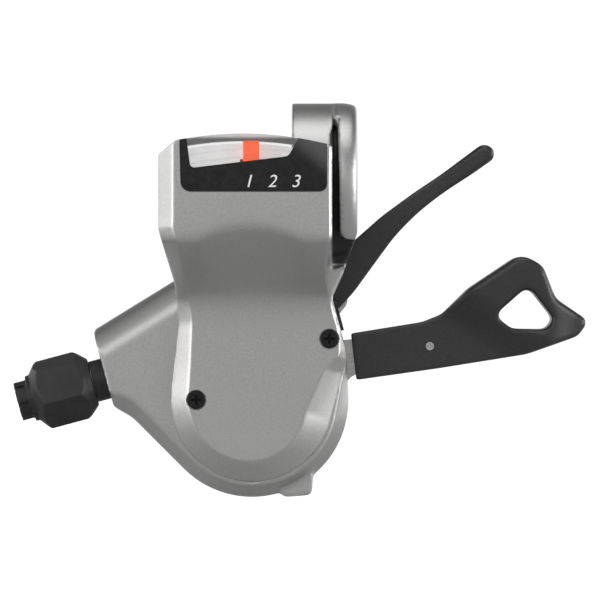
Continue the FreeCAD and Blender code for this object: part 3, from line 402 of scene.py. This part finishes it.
# %% [markdown]
# The outer skin and the inner skin are two grids with the same number of points. The
# inner one starts from a smaller outline and lies a wall's thickness behind. Both are
# extruded back to the seat on the casting. The inner one is turned to face inwards, and
# then their borders are bridged, which closes the shell.

# %% skins, walls and bridge
WIDE, HIGH = 110, 190
WALL, INSIDE_GAP = 1.25, 0.35


def skin(name, grid, depth):
    bpy.ops.object.select_all(action="DESELECT")
    bpy.ops.mesh.primitive_grid_add(x_subdivisions=WIDE - 1, y_subdivisions=HIGH - 1, size=MM)
    piece = bpy.context.object
    piece.name = name
    put(piece, np.stack([grid[:, 0], depth, grid[:, 1]], axis=1))
    return piece


def wall_back(piece, level):
    """Extrudes the border of an open skin back to one depth."""
    pick(piece)
    bpy.ops.object.mode_set(mode="EDIT")
    bpy.ops.mesh.select_mode(type="EDGE")
    bpy.ops.mesh.select_all(action="SELECT")
    bpy.ops.mesh.region_to_loop()
    bpy.ops.mesh.extrude_region_move(TRANSFORM_OT_translate={"value": (0, 0, 0)})
    bpy.ops.object.mode_set(mode="OBJECT")
    for vertex in piece.data.vertices:
        if vertex.select:
            vertex.co.y = level * MM
    piece.data.update()


def inset(points, by):
    """The outline moved inwards by a distance."""
    ahead = np.roll(points, -3, axis=0) - np.roll(points, 3, axis=0)
    ahead /= np.linalg.norm(ahead, axis=1)[:, None]
    return points + np.stack([-ahead[:, 1], ahead[:, 0]], axis=1) * by


grid = patch(outline, CORNERS, WIDE, HIGH)
depth = front_depth(grid, outline, bevel)
cover = skin("top_cover_skin", grid, depth)
small = inset(outline, WALL)
inner_grid = patch(small, CORNERS, WIDE, HIGH)
inner_depth = front_depth(inner_grid, outline, bevel) + WALL + INSIDE_GAP
inner_depth = np.minimum(inner_depth, SEAT_Y - 0.05)
inner = skin("cover_inside", inner_grid, inner_depth)
wall_back(cover, SEAT_Y)
wall_back(inner, SEAT_Y)
pick(inner)
bpy.ops.object.mode_set(mode="EDIT")
bpy.ops.mesh.select_all(action="SELECT")
bpy.ops.mesh.flip_normals()
bpy.ops.object.mode_set(mode="OBJECT")
pick(cover)
inner.select_set(True)
bpy.ops.object.join()
bpy.ops.object.mode_set(mode="EDIT")
bpy.ops.mesh.select_mode(type="EDGE")
bpy.ops.mesh.select_all(action="DESELECT")
bpy.ops.mesh.select_non_manifold()
bpy.ops.mesh.bridge_edge_loops()
bpy.ops.mesh.select_all(action="SELECT")
bpy.ops.mesh.normals_make_consistent(inside=False)
bpy.ops.object.mode_set(mode="OBJECT")
print("cover shell:", len(cover.data.polygons), "faces")

# %% [markdown]
# The shell is then opened where other pieces meet it: a hollow for the handlebar and
# its band, a pocket for the black frame of the window, the window itself, and two
# seats for the cross-head screws.

# %% openings in the cover
BEZEL = [(-26.05, 14.0, 0), (-25.65, -1.45, 1.8), (0.45, -1.45, 1.4), (0.45, 14.0, 0)]
WINDOW = [(-25.55, 14.0, 0), (-24.05, 2.65, 0.8), (-6.45, 4.75, 1.2), (-1.15, 14.0, 0)]
BEZEL_DEEP, WINDOW_DEEP, AHEAD = 0.9, 3.7, 2.0
SADDLE_RADIUS, SADDLE_LONG = 15.4, 60.0
SCREWS = [(0.9, -27.7), (-23.1, -38.7)]
SEAT_RADIUS, SEAT_MIDDLE, SEAT_LONG = 1.85, LOW_Y - 1.05, 4.0
HOLE_RADIUS, HOLE_LONG = 1.15, 12.0
cut(cover, rod("saddle", SADDLE_RADIUS, (-14.0, 0, 0), SADDLE_LONG, "X", 128))
cut(cover, block("bezel_pocket", rounded(BEZEL), DISPLAY_Y - AHEAD, DISPLAY_Y + BEZEL_DEEP))
cut(cover, block("window", rounded(WINDOW), DISPLAY_Y - AHEAD, DISPLAY_Y + WINDOW_DEEP))
for x, z in SCREWS:
    cut(cover, rod("seat", SEAT_RADIUS, (x, SEAT_MIDDLE, z), SEAT_LONG, "Y"))
    cut(cover, rod("hole", HOLE_RADIUS, (x, LOW_Y, z), HOLE_LONG, "Y"))
hand_over(cover, "shifter_body", "silver_paint", "top_cover")

# %% [markdown]
# ## The casting
# The clamp band, the wing and the round body are one casting. The CAD has its sizes.
# Here a groove is cut beside the rib of the band and widens below the rib's end. The
# solid is softened, and the long top edge of the wing is rolled over with a radius of
# several millimetres, which catches the broad highlight of a real casting. Last, the
# rib is crowned, so that it falls away a little towards its outer edge.

# %% groove beside the rib
casting = cad_copy("clamp_bracket", "bracket_casting")
GROOVE = [(1.2, -15.0, 0), (1.3, 9.0, 0), (1.95, 13.2, 0), (2.35, 13.2, 0), (2.75, -8.6, 0),
          (3.4, -9.6, 0), (5.3, -10.2, 0), (5.7, -11.6, 0), (4.6, -14.4, 0)]
GROOVE_FRONT, GROOVE_BACK = -20.0, -1.0
CORE_RADIUS, CORE_LONG = 12.5, 40.0
groove = block("groove", rounded(GROOVE), GROOVE_FRONT, GROOVE_BACK)
cut(groove, rod("core", CORE_RADIUS, (0, 0, 0), CORE_LONG, "X", 128))
cut(casting, groove)
soften(casting, voxel=0.36, rounds=4)
print("casting:", len(casting.data.polygons), "faces")

# %% roll the wing's top edge and crown the rib
WING_CORNER = np.array([-41.86, -26.21])
WING_RISE = math.radians(31.6)
WING_ROLL, WING_FIRST, WING_LAST = 5.5, -2.0, 21.0
ROLL_FADE_IN, ROLL_FADE_OUT, ROLL_MARGIN = 1.5, 3.0, -0.5
RIB_LEFT, RIB_CORE, RIB_FALL = 2.9, 13.2, 0.06


def roll_edge(piece, corner, rise, radius, first, last):
    """Rolls the edge between the front face and a sloping top face over a radius."""
    co = place_of(piece)
    line = np.array([math.cos(rise), math.sin(rise)])
    normal = np.array([-line[1], line[0]])
    offset = co[:, [0, 2]] - corner
    below = -(offset @ normal)
    behind = co[:, 1] - SEAT_Y
    run = offset @ line
    a, b = radius - below, radius - behind
    outside = (a > 0) & (b > 0) & (np.hypot(a, b) > radius)
    outside &= (below > ROLL_MARGIN) & (behind > ROLL_MARGIN)
    share = np.clip((run - first) / ROLL_FADE_IN, 0, 1)
    share *= np.clip((last - run) / ROLL_FADE_OUT, 0, 1)
    outside &= share > 0
    scale = np.where(outside, radius / np.maximum(np.hypot(a, b), 1e-6), 1.0)
    scale = 1.0 + (scale - 1.0) * share
    shift_n = a * (scale - 1.0)
    shift_y = b * (scale - 1.0)
    co[:, [0, 2]] += np.where(outside, shift_n, 0.0)[:, None] * normal[None]
    co[:, 1] -= np.where(outside, shift_y, 0.0)
    put(piece, co)
    return int(outside.sum())


def crown_rib(piece):
    """Lets the outside of the rib fall away from its inner side to its outer edge."""
    co = place_of(piece)
    arm = np.hypot(co[:, 1], co[:, 2])
    on_rib = (co[:, 0] > RIB_LEFT) & (arm > RIB_CORE)
    shrink = np.where(on_rib, 1.0 - RIB_FALL * (co[:, 0] - RIB_LEFT) ** 2 / arm, 1.0)
    co[:, 1:] *= shrink[:, None]
    put(piece, co)


moved = roll_edge(casting, WING_CORNER, WING_RISE, WING_ROLL, WING_FIRST, WING_LAST)
modify(casting, "SMOOTH", iterations=2, factor=0.5)
crown_rib(casting)
print("points rolled over:", moved)
hand_over(casting, "shifter_body", "silver_paint", "clamp_bracket")

# %% [markdown]
# ## The thumb lever's pad
# The thumb pushes this lever away. Its black pad is moulded over the steel arm: flat
# and thin near the body, then it swells into a deep ring with a three-cornered hole.
# We cut the outline as a block, rebuild it on voxels, and then stretch its depth
# towards the ring. The stretch starts at a slanting fold between the arm and the hole,
# and it fades again towards the edge that the thumb touches.

# %% thumb pad
PAD = [(4.9, -26.8, 0.3), (17.9, -24.7, 6.0), (21.4, -23.3, 4.0), (26.2, -18.6, 6.0),
       (35.8, -12.2, 3.4), (39.9, -14.4, 3.2), (42.2, -20.4, 3.6), (48.3, -24.5, 1.3),
       (46.3, -27.3, 2.5), (37.0, -30.6, 10.0), (20.7, -33.2, 20.0), (5.9, -35.3, 0.3)]
HOLE = [(31.1, -23.5, 1.2), (37.1, -18.2, 1.5), (41.8, -24.2, 1.4), (40.2, -26.0, 1.2),
        (34.2, -25.9, 2.2)]
PAD_MIDDLE, PAD_HALF, RING_HALF = 13.75, 2.45, 6.1
FOLD_AT, FOLD_AWAY = (24.0, -24.0), (0.55, 0.84)
SWELL_START, SWELL_END = -1.5, 6.5
TOUCH_START, TOUCH_END, TOUCH_LESS = 40.0, 47.5, 0.5
HOLE_FRONT, HOLE_BACK = 5.0, 23.0

pad = block("thumb_pad", rounded(PAD), PAD_MIDDLE - PAD_HALF, PAD_MIDDLE + PAD_HALF)
cut(pad, block("hole", rounded(HOLE), HOLE_FRONT, HOLE_BACK))
soften(pad, voxel=0.26, rounds=3)
co = place_of(pad)
reach = (co[:, [0, 2]] - FOLD_AT) @ np.array(FOLD_AWAY)
swell = smooth_step(reach, SWELL_START, SWELL_END) * (RING_HALF / PAD_HALF - 1.0)
swell *= 1.0 - smooth_step(co[:, 0], TOUCH_START, TOUCH_END) * TOUCH_LESS
co[:, 1] = PAD_MIDDLE + (co[:, 1] - PAD_MIDDLE) * (1.0 + swell)
put(pad, co)
smooth_where(pad, "ring", smooth_step(reach, -2.0, 3.0), 26)
hand_over(pad, "main_lever", "black_plastic", "main_lever_grip")

# %% [markdown]
# ## The release lever's blade
# The finger pulls this slim blade. It is a curved bar that grows deeper towards its
# rounded tip, where the finger rests.

# %% release blade
BLADE = [(1.4, -20.4, 0.4), (3.0, -14.6, 2.0), (4.6, -10.6, 2.0), (10.6, -5.3, 30.0),
         (16.5, -1.0, 60.0), (21.3, 2.2, 60.0), (29.2, 8.1, 1.8), (32.5, 6.1, 1.6),
         (26.9, 2.2, 40.0), (21.3, -1.4, 60.0), (16.5, -5.3, 40.0), (12.8, -9.2, 30.0),
         (9.2, -14.1, 30.0), (5.5, -19.2, 20.0), (2.4, -22.6, 0.4)]
BLADE_MIDDLE, BLADE_HALF = 16.8, 1.55
DEEPER_START, DEEPER_END, DEEPER_BY = 20.0, 31.0, 0.9
blade = block("release_blade", rounded(BLADE), BLADE_MIDDLE - BLADE_HALF,
              BLADE_MIDDLE + BLADE_HALF)
soften(blade, voxel=0.2, rounds=3)
co = place_of(blade)
deeper = 1.0 + DEEPER_BY * smooth_step(co[:, 0], DEEPER_START, DEEPER_END)
co[:, 1] = BLADE_MIDDLE + (co[:, 1] - BLADE_MIDDLE) * deeper
put(blade, co)
smooth_where(blade, "tip", 0.25 + 0.75 * smooth_step(co[:, 0], 20.0, 29.0), 30)
hand_over(blade, "release_lever", "black_plastic", "release_lever_grip")

# %% [markdown]
# ## The barrel adjuster
# A hand turns this barrel to tension the cable. Its CAD solid has every face, so it is
# only softened, as a moulded part is, and keeps its six sides and its notched tip.

# %% adjuster barrel
barrel = cad_copy("adjuster_barrel", "adjuster_body")
soften(barrel, voxel=0.17, rounds=2)
hand_over(barrel, "adjuster_barrel", "black_plastic", "adjuster_barrel")

# %% [markdown]
# ## Numerals on the black frame
# The display counts three chainrings, so the frame carries the plain numbers 1, 2 and
# 3. Text is made a mesh first, and only then turned to face the rider.

# %% numerals
NUMERAL_SIZE, NUMERAL_DEPTH, NUMERAL_LEAN = 2.35 * 1.35, 0.02, 0.25
NUMERAL_Y, NUMERAL_Z = DISPLAY_Y - 0.015, 0.35
NUMERAL_X = {"1": -13.6, "2": -9.4, "3": -5.2}
for number, x in NUMERAL_X.items():
    bpy.ops.object.select_all(action="DESELECT")
    bpy.ops.object.text_add(location=(0, 0, 0))
    numeral = bpy.context.object
    numeral.name = "numeral_" + number
    numeral.data.body = number
    numeral.data.align_x = "CENTER"
    numeral.data.align_y = "CENTER"
    numeral.data.size = NUMERAL_SIZE * MM
    numeral.data.extrude = NUMERAL_DEPTH * MM
    numeral.data.shear = NUMERAL_LEAN
    pick(numeral)
    bpy.ops.object.convert(target="MESH")
    numeral = bpy.context.object
    numeral.rotation_euler = (math.pi / 2, 0, 0)
    numeral.location = (x * MM, NUMERAL_Y * MM, NUMERAL_Z * MM)
    hand_over(numeral, "shifter_body", "dial_white")

# %% [markdown]
# ## Writing materials as arithmetic
# A material is a small graph of nodes. To read it as a formula, one class wraps an
# output socket and gives it the usual signs, so `0.4 + grain * 0.1` adds the two Math
# nodes itself. Every other node comes from one method of the class Finish.

# %% the socket and finish classes
class Socket:
    """One output of a node, ready for plain arithmetic."""

    def __init__(self, finish, output):
        self.finish = finish
        self.output = output

    def math(self, operation, *others):
        values = dict(enumerate((self,) + others))
        return self.finish.node("ShaderNodeMath", {"operation": operation}, values)

    def __add__(self, other):
        return self.math("ADD", other)

    __radd__ = __add__

    def __mul__(self, other):
        return self.math("MULTIPLY", other)

    __rmul__ = __mul__

    def __sub__(self, other):
        return self.math("SUBTRACT", other)

    def __rsub__(self, other):
        return self * -1.0 + other

    def step(self, low, high):
        """0 below low, 1 above high, and a smooth change between."""
        return self.finish.node("ShaderNodeMapRange", {"interpolation_type": "SMOOTHSTEP"},
                                {0: self, 1: low, 2: high, 3: 0.0, 4: 1.0})


class Finish:
    """A material under construction, on the piece's own coordinates."""

    def __init__(self, name):
        self.material = bpy.data.materials.new(name)
        self.material.use_nodes = True
        self.tree = self.material.node_tree
        self.tree.nodes.clear()
        self.place = self.node("ShaderNodeTexCoord", output="Object")

    def node(self, kind, settings=None, inputs=None, output=0):
        made = self.tree.nodes.new(kind)
        for key, value in (settings or {}).items():
            setattr(made, key, value)
        for key, value in (inputs or {}).items():
            if isinstance(value, Socket):
                self.tree.links.new(value.output, made.inputs[key])
            else:
                made.inputs[key].default_value = value
        return Socket(self, made.outputs[output])

    def noise(self, scale, detail=2.0, rough=0.5):
        return self.node("ShaderNodeTexNoise", None,
                         {"Vector": self.place, "Scale": scale, "Detail": detail,
                          "Roughness": rough})

    def axis(self, name):
        return self.node("ShaderNodeSeparateXYZ", None, {0: self.place}, name)

    def blend(self, share, one, other):
        return self.node("ShaderNodeMix", {"data_type": "RGBA"}, {0: share, 6: one, 7: other}, 2)

    def bump(self, height, strength, distance):
        return self.node("ShaderNodeBump", None,
                         {"Height": height, "Strength": strength, "Distance": distance}, "Normal")

    def surface(self, **values):
        shader = self.node("ShaderNodeBsdfPrincipled", None,
                           {key.replace("_", " "): value for key, value in values.items()})
        self.close(shader)
        return shader

    def close(self, shader):
        output = self.tree.nodes.new("ShaderNodeOutputMaterial")
        self.tree.links.new(shader.output, output.inputs[0])


def grey(value, warm=0.0):
    return (value + warm, value, value - warm, 1.0)


print("material classes ready")

# %% [markdown]
# ## Satin silver paint
# The casting and the cover share one satin metallic paint. Small flakes make it
# sparkle a little and change its brightness, and a very shallow orange-peel bends the
# reflections. The floor and the lower walls of the groove, and the recess below the
# rib's end, are painted with shade: near-black, not metallic and rougher. They lie at a
# known distance from the bar's axis, so a mask on that distance and on X finds them.

# %% silver paint
paint = Finish("satin_silver_paint")
flakes = paint.noise(5200.0, 2.0, 0.6)
cloud = paint.noise(160.0, 3.0)
x_place, y_place, z_place = paint.axis("X"), paint.axis("Y"), paint.axis("Z")
arm = (y_place * y_place + z_place * z_place).math("SQRT")
# painted shade: masks for the groove's floor and lower walls and the recess below the rib's end
WIDENING = 0.0030
below_rib = 1.0 - z_place.step(-0.0098, -0.0090)
right_of_left_wall = x_place.step(0.0012, 0.0015)
left_of_right_wall = 1.0 - (x_place - below_rib * WIDENING).step(0.0026, 0.0031)
at_depth = arm.step(0.0118, 0.0123) * (1.0 - arm.step(0.0140, 0.0146))
above_end = z_place.step(-0.0162, -0.0155)
groove_painted_shade = right_of_left_wall * left_of_right_wall * at_depth * above_end
tone = paint.blend(flakes.step(0.3, 0.7), grey(0.43, 0.003), grey(0.53, 0.004))
tone = paint.blend(cloud * 0.12, tone, grey(0.40, 0.003))
# painted shade: the groove goes near-black, loses its metal and gets rougher
tone = paint.blend(groove_painted_shade, tone, grey(0.01))
paint.surface(Base_Color=tone, Metallic=0.9 - groove_painted_shade * 0.9,
              Roughness=0.36 + flakes * 0.10 + groove_painted_shade * 0.3,
              Normal=paint.bump(flakes + cloud * 2.0, 0.10, 0.00004))
print("silver paint:", len(paint.tree.nodes), "nodes")

# %% [markdown]
# ## Black plastics and paint
# The pads, the barrel and the back cover are moulded in black plastic with a fine
# spark-eroded grain. The frame of the window is smooth black, with a painted reflection
# that pales it towards its upper right corner, and the screws are black painted steel.

# %% black plastic
plastic = Finish("grained_black_plastic")
grain = plastic.noise(3600.0, 3.0, 0.65)
patches = plastic.noise(220.0, 2.0)
plastic.surface(Base_Color=plastic.blend(patches.step(0.35, 0.65), grey(0.018), grey(0.026)),
                Roughness=0.42 + grain * 0.16, Specular_IOR_Level=0.32,
                Normal=plastic.bump(grain, 0.22, 0.00006))

lever_black = Finish("smooth_black_plastic")
lever_grain = lever_black.noise(2600.0, 3.0, 0.6)
lever_black.surface(Base_Color=lever_black.blend(lever_grain.step(0.3, 0.7), grey(0.022),
                                                 grey(0.030)),
                    Roughness=0.30 + lever_grain * 0.14, Specular_IOR_Level=0.5,
                    Normal=lever_black.bump(lever_grain, 0.12, 0.00005))

gloss = Finish("gloss_black_frame")
haze = gloss.noise(900.0, 2.0)
# painted reflection: the frame's colour pales towards its upper right corner
painted_reflection = (gloss.axis("X") * 0.8 + gloss.axis("Z")).step(0.0005, 0.0062) * 0.55
frame_tone = gloss.blend(haze.step(0.4, 0.6), grey(0.012), grey(0.016))
gloss.surface(Base_Color=gloss.blend(painted_reflection, frame_tone, grey(0.16)),
              Roughness=0.16 + haze * 0.08, Specular_IOR_Level=0.3,
              Normal=gloss.bump(haze, 0.04, 0.00003))

screw_black = Finish("black_painted_steel")
speck = screw_black.noise(4000.0, 2.0)
screw_black.surface(Base_Color=screw_black.blend(speck.step(0.4, 0.7), grey(0.006), grey(0.016)),
                    Roughness=0.45 + speck * 0.15, Specular_IOR_Level=0.2,
                    Normal=screw_black.bump(speck, 0.08, 0.00003))
print("black finishes ready")

# %% [markdown]
# ## Window, dial and needle
# The window is clear plastic, frosted along its top edge, over a white dial with faint
# arcs. The dial and the orange needle are given a little emission: painted light that
# stands in for the light falling through the window from above.

# %% window, dial and needle
lens = Finish("clear_window")
haze = lens.noise(700.0, 2.0)
clear = lens.node("ShaderNodeBsdfTransparent", None, {"Color": grey(0.97)})
frosted = lens.axis("Z").step(0.0076, 0.0086)
shiny = lens.node("ShaderNodeBsdfPrincipled", None,
                  {"Base Color": lens.blend(frosted, grey(0.02), grey(0.80)),
                   "Roughness": 0.08 + haze * 0.05, "IOR": 1.5})
share = 0.06 + haze * 0.04 + frosted * 0.55
lens.close(lens.node("ShaderNodeMixShader", None, {0: share, 1: clear, 2: shiny}))

dial = Finish("white_dial")
ARC_X, ARC_Z, ARC_PITCH = -0.0131, -0.048, 4.2
dx, dz = dial.axis("X") - ARC_X, dial.axis("Z") - ARC_Z
swing = (dx * dx + dz * dz).math("SQRT") * 1000.0
rings = (swing * ARC_PITCH).math("SINE").step(0.55, 0.95)
fine_grain = dial.noise(2500.0, 2.0)
# painted light: the dial's emission stands in for light falling through the window
dial.surface(Base_Color=dial.blend(rings * 0.6 + fine_grain * 0.1, grey(0.86), grey(0.66)),
             Roughness=0.45 + fine_grain * 0.1, Emission_Color=grey(1.0), Emission_Strength=0.45)

white = Finish("white_print")
ink = white.noise(3000.0, 2.0)
white.surface(Base_Color=white.blend(ink, grey(0.84), grey(0.78)), Roughness=0.5 + ink * 0.1)

orange = Finish("orange_needle")
warm = orange.noise(1500.0, 2.0)
# painted light: the needle's emission stands in for light falling through the window
orange.surface(Base_Color=orange.blend(warm, (0.90, 0.16, 0.07, 1.0), (0.95, 0.20, 0.09, 1.0)),
               Roughness=0.4 + warm * 0.1, Emission_Color=(1.0, 0.14, 0.07, 1.0),
               Emission_Strength=0.6)
print("window finishes ready")

# %% [markdown]
# ## Bare metals and the inner plastics
# Steel plates are blanked from rolled sheet, so they carry fine lines along X. Pins
# and springs are drawn or ground, and the bush is sintered bronze.

# %% metals
steel = Finish("rolled_steel")
stretched = steel.node("ShaderNodeMapping", None,
                       {"Vector": steel.place, "Scale": (200.0, 3000.0, 3000.0)})
lines = steel.node("ShaderNodeTexNoise", None, {"Vector": stretched, "Scale": 1.0, "Detail": 3.0})
steel.surface(Base_Color=steel.blend(lines.step(0.3, 0.7), grey(0.50, 0.01), grey(0.62, 0.01)),
              Metallic=1.0, Roughness=0.26 + lines * 0.16, Normal=steel.bump(lines, 0.1, 0.00003))

spring = Finish("spring_wire")
drawn = spring.noise(1800.0, 2.0)
spring.surface(Base_Color=spring.blend(drawn, grey(0.38, 0.005), grey(0.52, 0.005)), Metallic=1.0,
               Roughness=0.24 + drawn * 0.14)

bronze = Finish("sintered_bronze")
pores = bronze.noise(3200.0, 3.0, 0.7)
bronze.surface(Base_Color=bronze.blend(pores.step(0.35, 0.7), (0.28, 0.15, 0.06, 1.0),
                                       (0.55, 0.32, 0.14, 1.0)),
               Metallic=1.0, Roughness=0.34 + pores * 0.2,
               Normal=bronze.bump(pores, 0.2, 0.00004))

alloy = Finish("turned_alloy")
turned = alloy.noise(2200.0, 2.0)
alloy.surface(Base_Color=alloy.blend(turned, grey(0.58), grey(0.70)), Metallic=1.0,
              Roughness=0.25 + turned * 0.15)

drum_white = Finish("drum_plastic")
flow = drum_white.noise(400.0, 3.0)
drum_white.surface(Base_Color=drum_white.blend(flow, (0.10, 0.10, 0.10, 1), (0.14, 0.14, 0.14, 1)),
                   Roughness=0.45 + flow * 0.1)
print("metals ready")

# %% [markdown]
# ## Giving every piece its finish
# The record says which slot each CAD node has. Each slot gets its material here, and
# so do the pieces that were made above.

# %% assign the finishes
SLOT_FINISH = {
    "silver_paint": paint, "black_screw": screw_black, "bezel_black": gloss, "clear_lens": lens,
    "dial_white": dial, "black_plastic": plastic, "drum_plastic": drum_white,
    "needle_orange": orange, "steel": steel, "spring_steel": spring, "bronze_bush": bronze,
    "stud_alloy": alloy,
}

def wear(piece, finish):
    piece.data.materials.clear()
    piece.data.materials.append(finish.material)


for part in frame["record"]["subparts"]:
    wear(nodes[part["node"]], SLOT_FINISH[part["material_slot"]])
for piece, finish in ((cover, paint), (casting, paint), (pad, lever_black), (blade, lever_black),
                      (barrel, plastic)):
    wear(piece, finish)
for number in NUMERAL_X:
    wear(bpy.data.objects["numeral_" + number], white)

# %% [markdown]
# ## Floor, air and light
# The shifter hangs over a plain pale floor that glows white far behind it. Softboxes
# left and right give the bright edges, and one overhead lights the band. The air itself
# is pale at eye level and darker above and below, which shapes the slopes of the cover.

# %% floor
FLOOR_Z, FLOOR_RADIUS = -0.098, 6.0
GLOW_STARTS, GLOW_FULL = 0.25, 0.6
bpy.ops.object.select_all(action="DESELECT")
bpy.ops.mesh.primitive_circle_add(vertices=96, radius=FLOOR_RADIUS, fill_type="NGON",
                                  location=(0, 0, FLOOR_Z))
floor = bpy.context.object
floor.name = "studio_floor"
floor_finish = Finish("pale_floor")
dust = floor_finish.noise(30.0, 3.0)
glow = floor_finish.axis("Y").step(GLOW_STARTS, GLOW_FULL)
floor_finish.surface(Base_Color=floor_finish.blend(dust, grey(0.50), grey(0.53)),
                     Roughness=0.6 + dust * 0.1, Emission_Strength=1.0,
                     Emission_Color=floor_finish.blend(glow, grey(0.0), grey(0.9)))
wear(floor, floor_finish)

# %% air
world = bpy.data.worlds.new("studio_air")
bpy.context.scene.world = world
world.use_nodes = True
tree = world.node_tree
tree.nodes.clear()
direction = tree.nodes.new("ShaderNodeTexCoord")
split = tree.nodes.new("ShaderNodeSeparateXYZ")
tree.links.new(direction.outputs["Generated"], split.inputs[0])


def air_math(operation, *values):
    made = tree.nodes.new("ShaderNodeMath")
    made.operation = operation
    for i, value in enumerate(values):
        if isinstance(value, (int, float)):
            made.inputs[i].default_value = value
        else:
            tree.links.new(value, made.inputs[i])
    return made.outputs[0]


def air_ramp(value, low, high, start, end):
    """Goes softly from the start, where the value is low, to the end, where it is high."""
    made = tree.nodes.new("ShaderNodeMapRange")
    made.interpolation_type = "SMOOTHSTEP"
    tree.links.new(value, made.inputs[0])
    for i, number in enumerate((low, high, start, end)):
        made.inputs[i + 1].default_value = number
    return made.outputs[0]


height = air_math("ABSOLUTE", split.outputs["Z"])
sideways = air_math("ABSOLUTE", split.outputs["X"])
level = air_ramp(height, 0.12, 0.60, 1.0, 0.04)
front = air_ramp(split.outputs["Y"], -1.0, -0.2, 0.50, 1.05)
side = air_ramp(sideways, 0.3, 0.9, 0.0, 1.0)
strength = air_math("MULTIPLY", air_math("ADD", front, side), level)
air = tree.nodes.new("ShaderNodeBackground")
air.inputs["Color"].default_value = (1.0, 1.0, 1.0, 1.0)
tree.links.new(strength, air.inputs["Strength"])
out = tree.nodes.new("ShaderNodeOutputWorld")
tree.links.new(air.outputs[0], out.inputs[0])


# %% softboxes
LIGHTS_AIM = Vector((-0.004, 0.0, -0.02))
SOFTBOXES = {
    "left_softbox": ((-0.75, -0.35, 0.0), 0.35, 0.6, 2.6),
    "right_softbox": ((0.75, -0.30, -0.05), 0.45, 0.7, 5.4),
    "front_softbox": ((-0.25, -1.2, 0.55), 0.7, 0.5, 2.6),
    "top_softbox": ((0.0, -0.15, 0.75), 0.6, 0.6, 2.5),
}


def softbox(name, position, wide, tall, power):
    """A rectangular light of a given size in metres and power in watts."""
    bpy.ops.object.light_add(type="AREA", location=position)
    lamp = bpy.context.object
    lamp.name = name
    lamp.data.shape = "RECTANGLE"
    lamp.data.size = wide
    lamp.data.size_y = tall
    lamp.data.energy = power
    lamp.rotation_euler = (LIGHTS_AIM - Vector(position)).to_track_quat("-Z", "Y").to_euler()


for name, (position, wide, tall, power) in SOFTBOXES.items():
    softbox(name, position, wide, tall, power)
